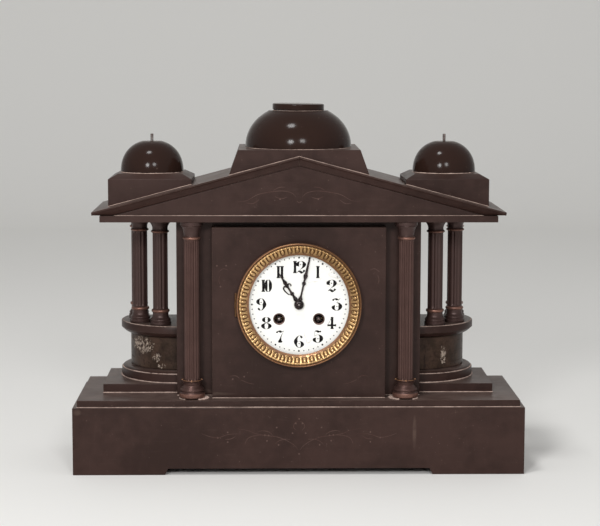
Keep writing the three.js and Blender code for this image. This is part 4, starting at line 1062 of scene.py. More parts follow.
# Points are [across from the middle, up], in millimetres. The left side mirrors the stems, and those dots
# that are on the right.
PLINTH_STEMS = [
    [(1.0, 25.5), (4.5, 29.8), (11.5, 34.6), (21.5, 38.6), (33.0, 40.2), (43.0, 42.0), (52.0, 45.6),
     (62.0, 47.2)],
    [(38.0, 40.6), (45.0, 40.0), (51.5, 37.2), (54.5, 31.0)],
    [(58.0, 42.0), (71.0, 41.4), (81.0, 38.2), (90.0, 39.4), (98.0, 42.4)],
    [(9.0, 36.2), (15.0, 36.4), (20.5, 34.6), (24.0, 31.4)],
    [(26.0, 40.0), (30.0, 43.6), (36.0, 45.2), (41.0, 44.4)],
    [(63.0, 40.0), (68.0, 37.0), (74.0, 36.4)],
    [(3.0, 45.5), (5.5, 49.0), (4.2, 53.0), (0.8, 54.6)],
]
PLINTH_DOTS = [(0, 57.2), (3.4, 52.6), (6.6, 42.6), (22.5, 48.4), (20.6, 30.6), (32.2, 34.8), (34.4, 40.6),
               (30.6, 40.2), (71.6, 43.6), (71.6, 33.6), (81.6, 38.0), (0, 21.4)]
GABLE_STEMS = [
    [(3.0, 279.0), (8.0, 283.4), (18.0, 285.2), (32.0, 283.6), (42.0, 281.2), (52.0, 275.6), (61.0, 274.4)],
    [(14.0, 289.0), (20.0, 288.6), (26.0, 285.6)],
    [(24.0, 279.6), (18.0, 277.4), (12.0, 279.2)],
    [(40.0, 276.4), (46.0, 272.6), (52.0, 273.0)],
    [(2.4, 275.0), (0.0, 273.2), (0.0, 273.2)],
]
PANEL_STEMS = [
    [(45.0, 89.0), (51.0, 90.2), (58.5, 93.4)], [(60.0, 95.0), (64.0, 97.6), (70.0, 97.0)],
    [(71.0, 205.0), (76.0, 206.4), (81.0, 203.0)], [(79.0, 200.0), (80.4, 195.0), (79.2, 191.0)],
]
PANEL_DOTS = [(-55.2, 96.7), (-66.8, 94.2), (-73.0, 209.6), (-82.3, 209.4), (-78.7, 188.4)]
GABLE_DOTS = [(19.0, 277.0)]


class EngraveFoliage(bpy.types.Operator):
    """Draws the engraved stems and dots on the plinth, the pediment and the dial panel."""

    bl_idname = "clock.engrave_foliage"
    bl_label = "Engrave the foliage"

    def execute(self, context):
        faces = (
            ("plinth", PLINTH_STEMS, PLINTH_DOTS), ("tympanum", GABLE_STEMS, GABLE_DOTS),
            ("dial_panel", PANEL_STEMS, PANEL_DOTS),
        )
        for node, stems, dots in faces:
            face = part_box(node)[0].y + (ENGRAVING_ROOM if node == "plinth" else 0)
            self.stems(node, stems, face)
            self.dots(node, dots, face)
        return {"FINISHED"}

    def stems(self, node, stems, face):
        """Each stem is a strip with a line along its middle that stands out a little more."""
        bm = bmesh.new()
        for stem in stems:
            points = eased(stem, 8)
            for sign in SIDES.values():
                rows = []
                for i, (x, z) in enumerate(points):
                    taper = 0.35 + 0.65 * math.sin(math.pi * (i + 0.5) / len(points))
                    side = way_across(points, i) * stone().groove * taper
                    row = []
                    for step, out in ((1, 0.03), (0, 0.05), (-1, 0.03)):
                        across = sign * (x * MM + step * side.x)
                        row.append(bm.verts.new((across, face - out * MM, z * MM + step * side.y)))
                    rows.append(row)
                for low, high in zip(rows, rows[1:]):
                    bm.faces.new((low[0], low[1], high[1], high[0]))
                    bm.faces.new((low[1], low[2], high[2], high[1]))
        face_front(bm)
        name = f"engraved_stems_{node}"
        add_piece(name, plain_mesh(bm, name), "case", "slate", ["engraved"])

    def dots(self, node, dots, face):
        bm = bmesh.new()
        for x, z in dots:
            for sign in (-1, 1) if x > 0 else (1,):
                disc(bm, (sign * x * MM, z * MM), 0.85 * MM, face - 0.04 * MM, 14)
        name = f"engraved_dots_{node}"
        add_piece(name, plain_mesh(bm, name), "case", "slate", ["dot"])


# How far below the foot of its own stone a bead starts, or above the top of the stone that it lies on
IN_JOINT = 0.28 * MM
ON_STONE = 0.02 * MM
# Lines of dust on a pedestal: [name, radius, height, size], in millimetres
PEDESTAL_LINES = [("foot", 61.5, 83.92, 0.9), ("shoulder", 60.3, 92.75, 0.8), ("cap", 60.1, 142.0, 0.6)]
FRONTWARDS = Vector((0, -1, 0))


class LayJoints(bpy.types.Operator):
    """Lays the ragged beads of old plaster and dust that show as pale lines where the stones meet, and a thin
    painted highlight along the base slab's top front arris.
    """

    bl_idname = "clock.lay_joints"
    bl_label = "Lay the plaster joints"

    def execute(self, context):
        self.round_foot("base_slab", 0.62)
        self.round_foot("step_slab", 0.75)
        self.straight("dial_panel", 0.5)
        self.straight("front_wall", 0.5)
        # A painted highlight: a thin paler line along the base slab's top front arris, not plaster
        self.straight("base_slab", 0.3, top_of="base_slab", look="engraved")
        self.straight("tympanum", 0.5, top_of="architrave")
        for side, sign in SIDES.items():
            self.pedestal(side, sign)
            self.along_roof(f"corner_block_{side}", 0.5)
            self.circle(f"side_dome_{side}", 31.7, 0.8, f"corner_block_{side}")
            self.circle(f"large_column_{side}", 12.2, 1.1, "base_slab", open_front=0.55)
            self.chips(side, sign)
        self.along_roof("dome_block", 0.5)
        self.circle("central_dome", 53.8, 0.55, "dome_block")
        self.circle("dome_cap", 25.6, 0.45, "central_dome")
        return {"FINISHED"}

    def bead(self, name, points, outs, size, look="plaster"):
        """A ragged fillet along points: each has its own way out, and up is up."""
        rings = []
        for i, (point, out) in enumerate(zip(points, outs)):
            quick = math.sin(i * 1.7 + len(name)) * math.sin(i * 0.61)
            ragged = 0.75 + 0.35 * quick + 0.25 * math.sin(i * 0.23 + 1)
            wide = out * (size * MM * ragged)
            tall = Vector((0, 0, size * MM * (0.55 + 0.45 * ragged)))
            inside = point - out * 0.1 * MM
            rings.append([inside, point + wide, point + wide * 0.7 + tall * 0.6, inside + tall])
        bm = bmesh.new()
        skin(bm, rings)
        add_piece(name, mesh_from(bm, name, 60), "case", "slate", [look])

    def edge(self, name, start, end, out, size, look="plaster"):
        """A bead along a straight edge, with a point for each 2.2 mm of it."""
        count = max(int((end - start).length / (2.2 * MM)), 2)
        points = [start.lerp(end, i / count) for i in range(count + 1)]
        self.bead(name, points, [out] * len(points), size, look)

    def round_foot(self, node, size):
        low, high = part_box(node)
        corners = [
            Vector((x, y, low.z - IN_JOINT))
            for x, y in ((low.x, high.y), (low.x, low.y), (high.x, low.y), (high.x, high.y))
        ]
        ways = {"left": Vector((-1, 0, 0)), "front": FRONTWARDS, "right": Vector((1, 0, 0))}
        for start, end, (name, out) in zip(corners, corners[1:], ways.items()):
            self.edge(f"plaster_{node}_{name}", start, end, out, size)

    def straight(self, node, size, top_of=None, look="plaster"):
        low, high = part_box(node)
        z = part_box(top_of)[1].z + ON_STONE if top_of else low.z - IN_JOINT
        start, end = (Vector((x, low.y, z)) for x in (low.x, high.x))
        self.edge(f"{look}_{node}", start, end, FRONTWARDS, size, look)

    def along_roof(self, node, size):
        """Follows the sloping foot of a block that stands on the roof."""
        low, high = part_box(node)
        tip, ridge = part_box("roof_left")
        slope = (ridge.z - tip.z - ROOF_TIP) / -tip.x
        spans = [(low.x, 0.0), (0.0, high.x)] if node == "dome_block" else [(low.x, high.x)]
        for i, span in enumerate(spans):
            start, end = (Vector((x, low.y, ridge.z - slope * abs(x) + ON_STONE)) for x in span)
            self.edge(f"plaster_{node}_{i}", start, end, FRONTWARDS, size)

    def circle(self, node, radius, size, under, open_front=0.0):
        """A ring of plaster on the stone under a piece. It may stay open for so many radians on each side."""
        middle = centre_of(node)
        middle.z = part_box(under)[1].z + ON_STONE
        count = max(int(radius * 3), 40)
        reach = 2 * (math.pi - open_front)
        angles = [open_front - math.pi / 2 + reach * i / count for i in range(count + 1)]
        outs = [Vector((math.cos(angle), math.sin(angle), 0)) for angle in angles]
        self.bead(f"plaster_{node}", [middle + out * radius * MM for out in outs], outs, size)

    def pedestal(self, side, sign):
        """Lines at the foot of the base, on its shoulder and on the edge of the cap."""
        angles = [math.pi / 2 * (i / 60 - 1) for i in range(61)]
        outs = [Vector((sign * math.cos(angle), math.sin(angle), 0)) for angle in angles]
        for name, radius, z, size in PEDESTAL_LINES:
            middle = Vector((sign * PEDESTAL_OUT, PEDESTAL_BACK, z * MM))
            self.bead(f"plaster_{name}_{side}", [middle + out * radius * MM for out in outs], outs, size)

    def chips(self, side, sign):
        """Lumps of plaster left round the foot of a large column."""
        column = centre_of(f"large_column_{side}")
        column.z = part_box("base_slab")[1].z + ON_STONE
        bm = bmesh.new()
        for i in range(40):
            angle = -0.3 + 0.75 * math.sin(i * 2.3)
            away = (13.2 + 3.0 * abs(math.sin(i * 1.3))) * MM
            size = (0.7 + 1.0 * abs(math.sin(i * 3.1))) * MM
            spot = column + Vector((-sign * math.cos(angle) * away, math.sin(angle) * away * 0.8, 0))
            if spot.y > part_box("front_wall")[0].y:
                continue
            shape = Matrix.Translation(spot) @ Matrix.Diagonal((size, size * 0.8, size * 0.7, 1))
            bmesh.ops.create_icosphere(bm, subdivisions=1, radius=1, matrix=shape)
        add_piece(f"plaster_chips_{side}", mesh_from(bm, "chips", 60), "case", "slate", ["plaster"])


# Bezel

# In millimetres: the circle that the eggs are counted on, the inner radius of their band, and its width
EGG_CIRCLE = 55
BAND_START = 51.7
BAND = 6.5
# How many points there are for each egg, and how many rows of them cross the band
ALONG = 20
ACROSS = 16


class ChaseBezel(bpy.types.Operator):
    """Turns the gilt bezel, with its ring of eggs and tongues, its hinge and its convex glass."""

    bl_idname = "clock.chase_bezel"
    bl_label = "Chase the bezel"

    def execute(self, context):
        low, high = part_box("bezel")
        self.front, self.back = low.y, high.y
        self.middle = (0.0, (low.z + high.z) / 2)
        self.pitch = 2 * math.pi * EGG_CIRCLE / metal().eggs
        self.turn_ring()
        self.make_hinge(low.x)
        self.blow_glass()
        return {"FINISHED"}

    def relief(self, across, out):
        """The height of the moulding, across from an egg's middle and out from where the band starts."""
        egg = 1 - (across / 1.7) ** 2 - ((out - 4.0) / 2.6) ** 2
        if egg > 0:
            return 0.15 + 1.4 * math.sqrt(egg)
        if math.hypot(across, min(out - 3.2, 0.0)) < 2.35:
            return -0.3
        tongue = 1 - ((self.pitch / 2 - abs(across)) / 1.5) ** 2
        if tongue > 0 and out > 0.7:
            return 0.15 + 1.0 * math.sqrt(tongue) * min((out - 0.7) / 1.2, 1.0)
        return 0.15

    def turn_ring(self):
        """Loops of [radius, distance behind the front, finish] for lip, beads, eggs and sight edge."""
        around = metal().eggs * ALONG
        back = (self.back - self.front) / MM
        lip = [(60.9, back, 2), (60.9, 4.4, 2), (61.3, 3.8, 2), (62.2, 3.3, 2), (62.75, 2.4, 2),
               (62.8, 1.6, 2), (62.5, 0.7, 2), (62.0, 0.15, 2), (61.6, 0.0, 2), (61.2, 0.4, 1),
               (60.9, 1.6, 1), (60.3, 1.7, 1)]
        beads = [(60.0, 0.9), (59.6, 0.5), (59.0, 0.35), (58.5, 0.6)]
        sight = [(51.4, 4.3, 2), (50.7, 4.4, 2), (50.3, 4.8, 2), (50.2, 5.5, 1), (51.4, 5.7, 1),
                 (51.5, back, 1)]
        loops = [[point] * around for point in lip]
        waves = [0.6 * (1 - abs(math.cos(2 * math.pi * i / ALONG))) for i in range(around)]
        loops += [[(radius, behind + wave, 0) for wave in waves] for radius, behind in beads]
        for row in range(ACROSS + 1):
            out = BAND * (1 - row / ACROSS)
            line = []
            for i in range(around):
                share = (i % ALONG) / ALONG
                across = (share - 1 if share > 0.5 else share) * self.pitch
                stands = self.relief(across, out)
                look = 1 if stands < 0 else 2 if stands < 0.2 else 0
                line.append((BAND_START + out, 4.1 - 3.1 * (out / BAND) ** 0.8 - stands, look))
            loops.append(line)
        loops += [[point] * around for point in sight]
        self.skin_ring(loops)

    def skin_ring(self, loops):
        bm = bmesh.new()
        angles = turns(len(loops[0]))
        made = []
        for loop in loops:
            ring = []
            for angle, (radius, behind, _) in zip(angles, loop):
                place = Vector((math.cos(angle), 0, math.sin(angle))) * radius * MM
                ring.append(bm.verts.new((place.x, self.front + behind * MM, self.middle[1] + place.z)))
            made.append(ring)
        for loop, ring, after in zip(loops, made, made[1:] + made[:1]):
            for i in range(len(ring)):
                j = (i + 1) % len(ring)
                face = bm.faces.new((ring[i], ring[j], after[j], after[i]))
                face.material_index = loop[i][2]
        looks = ["gilt", "tarnish", "rubbed_gilt"]
        mesh = mesh_from(bm, "bezel", 60)
        add_piece("chased_bezel", mesh, "bezel_door", "gilt", looks, stands_for=["bezel"])

    def make_hinge(self, edge):
        """The bezel's two knuckles, each with the short leaf that joins it to the ring."""
        axis = Vector((edge + 1.5 * MM, self.back - 1.5 * MM))
        for name, bottom, top in (("hinge_knuckle_low", -12, -4), ("hinge_knuckle_high", 4, 12)):
            low_end = [(1.2, bottom), (1.2, bottom), (1.45, bottom + 0.3), (1.45, bottom + 0.3)]
            high_end = [(1.45, top - 0.3), (1.45, top - 0.3), (1.2, top)]
            bm = bmesh.new()
            skin(bm, stack_up(axis, self.middle[1], eased(low_end + high_end, 2), 24))
            spot = (axis.x + 1.5 * MM, self.back - 0.75 * MM, self.middle[1] + (top + bottom) / 2 * MM)
            leaf = Matrix.Diagonal((2.6 * MM, 1.4 * MM, (top - bottom - 0.6) * MM, 1))
            bmesh.ops.create_cube(bm, size=1, matrix=Matrix.Translation(spot) @ leaf)
            add_piece(name, mesh_from(bm, name), "bezel_door", "gilt", ["tarnish"])

    def blow_glass(self):
        """A bowl of two skins, which stands out most in the middle."""
        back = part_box("bezel_glass")[1].y
        radius = 51.1 * MM
        steps = 24
        outer, inner = [], []
        for i in range(steps + 1):
            r = max(radius * i / steps, 0.4 * MM)
            bow = 6.9 * MM * (1 - (r / radius) ** 2)
            outer.append(ring_front(self.middle, r, back - 1.45 * MM - bow, 96))
            inner.append(ring_front(self.middle, r, back - 0.1 * MM - bow, 96))
        bm = bmesh.new()
        skin(bm, outer + inner[::-1])
        mesh = mesh_from(bm, "bezel_glass")
        add_piece("watch_glass", mesh, "bezel_door", "glass", stands_for=["bezel_glass"])


# Dial

HAIR = 0.014
# The small curl inside three of the digits
CURL = [(-0.02, 0.3, HAIR), (0.02, 0.33, 0.06), (0.06, 0.3, HAIR)]
# A stroke is a row of [across, up, width], in shares of a numeral's height: 0 is the middle and the foot
STROKES = {
    "0": [[(0, 0.98, HAIR), (-0.11, 0.93, 0.07), (-0.17, 0.72, 0.15), (-0.18, 0.5, 0.17), (-0.17, 0.28, 0.15),
           (-0.11, 0.07, 0.07), (0, 0.02, HAIR), (0.11, 0.07, 0.07), (0.17, 0.28, 0.15), (0.18, 0.5, 0.17),
           (0.17, 0.72, 0.15), (0.11, 0.93, 0.07), (0, 0.98, HAIR)]],
    "1": [[(0, 1, 0.2), (0, 0.95, 0.18), (0, 0.86, 0.14), (0, 0.5, 0.13), (0, 0.14, 0.14), (0, 0.05, 0.18),
           (0, 0, 0.2)]],
    "2": [[(-0.06, 0.66, HAIR), (-0.02, 0.7, 0.06), (-0.04, 0.75, HAIR)],
          [(-0.12, 0.56, HAIR), (-0.21, 0.62, 0.09), (-0.27, 0.72, 0.21), (-0.2, 0.87, 0.1),
           (-0.08, 0.96, HAIR), (0.03, 0.98, HAIR), (0.15, 0.93, 0.06), (0.24, 0.82, 0.15), (0.27, 0.71, 0.2),
           (0.22, 0.57, 0.14), (0.12, 0.44, 0.06), (-0.04, 0.31, HAIR), (-0.2, 0.18, HAIR),
           (-0.3, 0.04, HAIR)],
          [(-0.3, 0.05, HAIR), (-0.2, 0.14, 0.05), (-0.06, 0.13, 0.11), (0.05, 0.06, 0.13),
           (0.16, 0.07, 0.06), (0.24, 0.16, 0.1), (0.27, 0.22, 0.13), (0.28, 0.26, HAIR)]],
    "3": [[(-0.3, 0.8, 0.04), (-0.28, 0.85, 0.12), (-0.23, 0.92, 0.05), (-0.1, 0.95, 0.07), (0.0, 0.92, 0.12),
           (0.1, 0.9, 0.06), (0.2, 0.94, HAIR), (0.3, 1.0, HAIR)],
          [(0.3, 1.0, HAIR), (0.16, 0.83, HAIR), (0.0, 0.63, HAIR)],
          [(0.0, 0.63, HAIR), (0.12, 0.62, 0.05), (0.24, 0.52, 0.12), (0.3, 0.34, 0.22), (0.24, 0.14, 0.13),
           (0.12, 0.03, 0.05), (0.0, 0.0, HAIR), (-0.14, 0.05, 0.06), (-0.24, 0.16, 0.14),
           (-0.26, 0.26, 0.19), (-0.18, 0.38, 0.08), (-0.12, 0.42, HAIR)],
          CURL],
    "4": [[(0.05, 1, 0.14), (0.05, 0.5, 0.13), (0.05, 0.1, 0.14), (0.05, 0.04, 0.18), (0.05, 0, 0.18)],
          [(0.0, 0.98, HAIR), (-0.16, 0.62, HAIR), (-0.31, 0.34, HAIR)],
          [(-0.34, 0.31, 0.12), (-0.28, 0.31, 0.1), (0.05, 0.31, 0.09), (0.3, 0.31, 0.1),
           (0.38, 0.31, 0.16)]],
    "5": [[(-0.24, 0.9, HAIR), (-0.18, 0.96, 0.05), (-0.04, 0.95, 0.1), (0.05, 0.91, 0.12), (0.14, 0.9, 0.06),
           (0.22, 0.93, 0.1), (0.26, 0.97, HAIR)],
          [(-0.24, 0.92, HAIR), (-0.25, 0.75, HAIR), (-0.25, 0.52, HAIR)],
          [(-0.25, 0.52, HAIR), (-0.12, 0.62, HAIR), (0.04, 0.65, HAIR), (0.18, 0.58, 0.09),
           (0.28, 0.42, 0.19), (0.28, 0.26, 0.19), (0.18, 0.09, 0.09), (0.04, 0.0, HAIR), (-0.12, 0.04, 0.05),
           (-0.24, 0.16, 0.14), (-0.27, 0.26, 0.18), (-0.18, 0.37, 0.07), (-0.12, 0.4, HAIR)],
          CURL],
    "6": [[(0.14, 0.82, HAIR), (0.19, 0.86, 0.14), (0.16, 0.94, 0.07), (0.05, 0.99, HAIR),
           (-0.08, 0.93, 0.05), (-0.19, 0.76, 0.11), (-0.26, 0.52, 0.2), (-0.24, 0.28, 0.12),
           (-0.14, 0.09, 0.06), (0.01, 0.0, HAIR), (0.15, 0.06, 0.06), (0.25, 0.19, 0.16), (0.27, 0.3, 0.19),
           (0.2, 0.44, 0.1), (0.06, 0.54, HAIR), (-0.06, 0.52, HAIR), (-0.16, 0.42, HAIR)],
          CURL],
    "7": [[(-0.27, 0.8, 0.04), (-0.26, 0.84, 0.12), (-0.2, 0.92, 0.05), (-0.08, 0.95, 0.08),
           (0.02, 0.92, 0.13), (0.12, 0.9, 0.06), (0.22, 0.95, HAIR), (0.3, 1.0, HAIR)],
          [(0.3, 1.0, HAIR), (0.2, 0.8, HAIR), (0.1, 0.58, 0.04), (0.04, 0.36, 0.07), (0.0, 0.16, 0.17),
           (0.0, 0.07, 0.24), (0.0, 0.0, 0.14)]],
    "8": [[(0, 0.54, HAIR), (-0.12, 0.59, 0.06), (-0.2, 0.7, 0.14), (-0.22, 0.78, 0.18), (-0.16, 0.91, 0.09),
           (-0.06, 0.98, HAIR), (0.06, 0.98, HAIR), (0.16, 0.91, 0.09), (0.22, 0.78, 0.18), (0.2, 0.7, 0.14),
           (0.12, 0.59, 0.06), (0, 0.54, HAIR)],
          [(0, 0.52, HAIR), (-0.14, 0.45, 0.06), (-0.25, 0.34, 0.15), (-0.27, 0.25, 0.2), (-0.19, 0.1, 0.1),
           (-0.06, 0.01, HAIR), (0.06, 0.01, HAIR), (0.19, 0.1, 0.1), (0.27, 0.25, 0.2), (0.25, 0.34, 0.15),
           (0.14, 0.45, 0.06), (0, 0.52, HAIR)]],
    "9": [[(-0.14, 0.18, HAIR), (-0.19, 0.14, 0.14), (-0.16, 0.06, 0.07), (-0.05, 0.01, HAIR),
           (0.08, 0.07, 0.05), (0.19, 0.24, 0.11), (0.26, 0.48, 0.2), (0.24, 0.72, 0.12), (0.14, 0.91, 0.06),
           (-0.01, 1.0, HAIR), (-0.15, 0.94, 0.06), (-0.25, 0.81, 0.16), (-0.27, 0.7, 0.19),
           (-0.2, 0.56, 0.1), (-0.06, 0.46, HAIR), (0.06, 0.48, HAIR), (0.16, 0.58, HAIR)],
          [(-0.06, 0.7, HAIR), (-0.02, 0.67, 0.06), (0.02, 0.7, HAIR)]],
}
# What a numeral takes across the dial, in shares of its height
SPANS = {"0": 0.5, "1": 0.3, "2": 0.66}
# Where the winding holes are: how far to each side of the middle, and how far up from it, in millimetres
WINDING_OUT = 20.0
WINDING_UP = -14.8
# A winding hole's cup, black inside as painted shade, and the rounded end of a square: [radius, distance
# behind the front], in millimetres
WINDING_CUP = [(5.3, 0.4), (5.9, -0.05), (5.9, -0.3), (5.6, -0.45), (4.6, -0.1), (4.0, 1.0), (3.6, 2.1),
               (3.2, 2.7), (3.1, 3.4), (4.6, 3.2), (5.2, 1.6)]
SQUARE_END = [(1.5, 0.3), (1.45, -0.05), (1.25, -0.3), (0.95, -0.5), (0.5, -0.6), (0.1, -0.62)]


def circle(x, z, radius, count):
    return [(x + radius * math.cos(angle), z + radius * math.sin(angle)) for angle in turns(count)]


class PaintDial(bpy.types.Operator):
    """Makes the enamel dial, with its numerals and its minute marks, and fills its winding holes."""

    bl_idname = "clock.paint_dial"
    bl_label = "Paint the dial"

    def execute(self, context):
        low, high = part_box("dial")
        self.face = low.y
        self.middle = Vector((0, (low.z + high.z) / 2))
        self.fire_enamel(high.y - low.y)
        self.numerals()
        self.minutes()
        for (side, sign), train in zip(SIDES.items(), ("strike", "going")):
            self.winding_hole(side, sign, train)
        return {"FINISHED"}

    def fire_enamel(self, thickness):
        outlines = [circle(0, 0, 51.5, 128), circle(0, 0, 3.7, 40)]
        outlines += [circle(sign * WINDING_OUT, WINDING_UP, 5.6, 40) for sign in (1, -1)]
        mesh = plate(outlines, "dial", thickness, self.middle, self.face)
        add_piece("enamel_dial", mesh, "case", "enamel", stands_for=["dial"])

    def numerals(self):
        bm = bmesh.new()
        for hour in range(1, 13):
            angle = math.radians(90 - 30 * hour)
            spot = self.middle + Vector((math.cos(angle), math.sin(angle))) * dial().numeral_ring
            spans = [SPANS.get(digit, 0.6) for digit in str(hour)]
            across = -sum(spans) / 2
            for digit, span in zip(str(hour), spans):
                self.digit(bm, digit, spot, across + span / 2)
                across += span
        self.ink(bm, "numerals")

    def digit(self, bm, digit, spot, across):
        """A broad pen follows each stroke. Each stroke stands a hair further out than the last one."""
        height = dial().numeral_height
        for order, stroke in enumerate(STROKES[digit]):
            points = eased(stroke, 6)
            out = self.face - (0.03 + 0.01 * order) * MM
            rows = []
            for i, (x, z, width) in enumerate(points):
                side = way_across(points, i) * max(width, HAIR) * dial().pen / 2
                row = []
                for step in (1, -1):
                    right = spot.x + (x + step * side.x + across) * height
                    up = spot.y + (z + step * side.y - 0.5) * height
                    row.append(bm.verts.new((right, out, up)))
                rows.append(row)
            for low, high in zip(rows, rows[1:]):
                bm.faces.new((low[0], low[1], high[1], high[0]))

    def minutes(self):
        bm = bmesh.new()
        for minute in range(60):
            angle = math.radians(6 * minute)
            spot = self.middle + Vector((math.sin(angle), math.cos(angle))) * dial().minute_ring
            size = 0.95 if minute % 5 == 0 else 0.6
            disc(bm, spot, size * MM, self.face - 0.03 * MM, 12)
        self.ink(bm, "minute_marks")

    def ink(self, bm, name):
        face_front(bm)
        add_piece(name, plain_mesh(bm, name), "case", "enamel", ["ink"])

    def winding_hole(self, side, sign, train):
        """The cup of a winding hole, brown at its rim and black inside as painted shade, and the rounded end
        of the square in it.
        """
        centre = (sign * WINDING_OUT * MM, self.middle.y + WINDING_UP * MM)
        bm = bmesh.new()
        rings = stack_front(centre, self.face, WINDING_CUP, 48)
        # Past the first rows of its rim the cup is black: painted shade down in the hole
        skin(bm, rings, closed=True, finish_of=lambda row: int(row > 3))
        mesh = mesh_from(bm, "winding_cup")
        add_piece(f"winding_cup_{side}", mesh, "case", "enamel", ["bronze", "black_steel"])
        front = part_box(f"{train}_winding_arbor")[0].y
        bm = bmesh.new()
        skin(bm, stack_front(centre, front, SQUARE_END, 32))
        mesh = mesh_from(bm, "winding_end")
        add_piece(f"winding_end_{side}", mesh, f"{train}_winding_body", "steel")


def plate(outlines, name, thickness, middle, front, turn=0.0, bevel=0.0):
    """A flat plate from outlines in millimetres: the first is its edge and the others are holes in it."""
    curve = bpy.data.curves.new(name, "CURVE")
    curve.dimensions = "2D"
    curve.fill_mode = "BOTH"
    curve.extrude = max(thickness / 2 - bevel, 0.01 * MM)
    curve.bevel_depth = bevel
    curve.bevel_resolution = 2
    for outline in outlines:
        spline = curve.splines.new("POLY")
        spline.points.add(len(outline) - 1)
        for point, (x, z) in zip(spline.points, outline):
            point.co = (x * MM, z * MM, 0, 1)
        spline.use_cyclic_u = True
    holder = bpy.data.objects.new(name, curve)
    bpy.context.scene.collection.objects.link(holder)
    bpy.context.view_layer.update()
    mesh = bpy.data.meshes.new_from_object(holder.evaluated_get(bpy.context.evaluated_depsgraph_get()))
    bpy.data.objects.remove(holder)
    mesh.transform(Matrix.Rotation(-turn, 4, "Z"))
    mesh.transform(Matrix.Rotation(math.pi / 2, 4, "X"))
    mesh.transform(Matrix.Translation((middle[0], front + thickness / 2, middle[1])))
    mesh.materials.clear()
    shade(mesh, 30)
    return mesh


# Hands

# How the hands stand, clockwise from 12
HOUR_TURN = math.radians(-32.5)
MINUTE_TURN = math.radians(12.75)
# A row is [distance from the centre, half width], in millimetres
HOUR_BLADE = [(3.0, 1.2), (5.0, 1.5), (6.6, 1.65), (8.2, 1.3), (10.5, 0.85), (11.6, 0.9), (12.2, 1.7),
              (12.9, 1.5), (13.6, 1.7), (14.3, 0.8), (16.0, 0.7), (20.5, 0.7), (21.2, 1.3), (22.2, 1.4),
              (23.0, 0.7), (24.4, 1.2), (26.0, 1.65), (27.6, 1.2), (29.4, 0.75), (33.0, 0.5), (37.0, 0.2)]
MINUTE_BLADE = [(3.0, 1.3), (5.0, 1.6), (6.4, 1.7), (8.0, 1.0), (10.0, 0.6), (18.5, 0.6), (20.4, 0.9),
                (21.2, 1.5), (22.0, 1.6), (22.8, 1.4), (23.6, 0.8), (25.6, 0.7), (27.4, 1.2), (29.6, 1.7),
                (31.8, 1.2), (34.0, 0.9), (44.0, 0.65), (48.4, 0.55), (49.3, 0.3)]
# The scrolls of the hour hand, as [across, up], and half their width at the start, in millimetres
HOUR_SCROLL = [(0.0, 22.0), (-2.2, 23.0), (-4.0, 22.6), (-4.7, 20.6), (-4.3, 17.6), (-3.6, 15.2),
               (-2.7, 13.6)]
HOUR_HOOK = [(0.0, 22.0), (1.8, 23.3), (3.4, 22.6), (3.7, 20.9), (2.9, 20.3)]
SCROLL_HALF = 0.75
# Turned parts, as [radius, distance behind the front], in millimetres
HOUR_COLLAR = [(2.6, 0.5), (2.6, 0.02), (4.4, 0.0), (4.7, 0.2), (4.7, 0.5)]
MINUTE_BOSS = [(0.6, 0.3), (1.6, 0.35), (2.0, 0.0), (2.6, 0.1), (3.8, 0.6), (4.6, 1.5), (5.0, 2.6),
               (5.0, 3.4)]
CENTRE_PIN = [(0.9, 0.5), (0.9, 0.1), (0.75, -0.2), (0.45, -0.35), (0.1, -0.4)]
CANNON_PIPE = [(0.6, 3.0), (1.9, 3.0), (1.9, 12.0), (0.6, 12.0)]


class PierceHands(bpy.types.Operator):
    """Files the two hands and turns the round boss at their centre."""

    bl_idname = "clock.pierce_hands"
    bl_label = "Pierce the hands"

    def execute(self, context):
        self.middle = (0.0, centre_of("dial").z)
        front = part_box("hour_hand")[0].y
        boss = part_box("minute_hand")[0].y
        self.blade("hour", HOUR_BLADE, front, HOUR_TURN)
        self.scroll("hour_scroll", HOUR_SCROLL, front)
        self.scroll("hour_hook", HOUR_HOOK, front)
        self.blade("minute", MINUTE_BLADE, boss + 3.0 * MM, MINUTE_TURN)
        self.collar("hour_collar", "hour_hand_body", front, HOUR_COLLAR)
        self.collar("minute_boss", "minute_hand_body", boss, eased(MINUTE_BOSS, 4))
        self.collar("centre_pin", "minute_hand_body", boss, CENTRE_PIN, 24, "steel")
        self.collar("cannon_pipe", "minute_hand_body", boss, CANNON_PIPE)
        return {"FINISHED"}

    def blade(self, which, rows, front, turn):
        """A hand's outline, with both sides alike, cut from a plate half a millimetre thick."""
        name = f"filed_{which}_hand"
        smooth = [(r, 0.12 + 1.12 * w) for r, w in eased(rows, 4)]
        outline = [(w, r) for r, w in smooth] + [(-w, r) for r, w in reversed(smooth)]
        mesh = plate([outline], name, 0.5 * MM, self.middle, front, turn, 0.12 * MM)
        add_piece(name, mesh, f"{which}_hand_body", "black_steel", stands_for=[f"{which}_hand"])

    def scroll(self, name, line, front):
        """A strip along a line, half as wide at its end as at its start."""
        points = eased(line, 6)
        left, right = [], []
        for i, (x, z) in enumerate(points):
            side = way_across(points, i) * SCROLL_HALF * (1.0 - 0.5 * i / len(points))
            left.append((x + side.x, z + side.y))
            right.append((x - side.x, z - side.y))
        mesh = plate([left + right[::-1]], name, 0.45 * MM, self.middle, front, HOUR_TURN, 0.1 * MM)
        add_piece(name, mesh, "hour_hand_body", "black_steel")

    def collar(self, name, body, front, profile, sides=48, slot="black_steel"):
        bm = bmesh.new()
        skin(bm, stack_front(self.middle, front, profile, sides))
        add_piece(name, mesh_from(bm, name), body, slot)


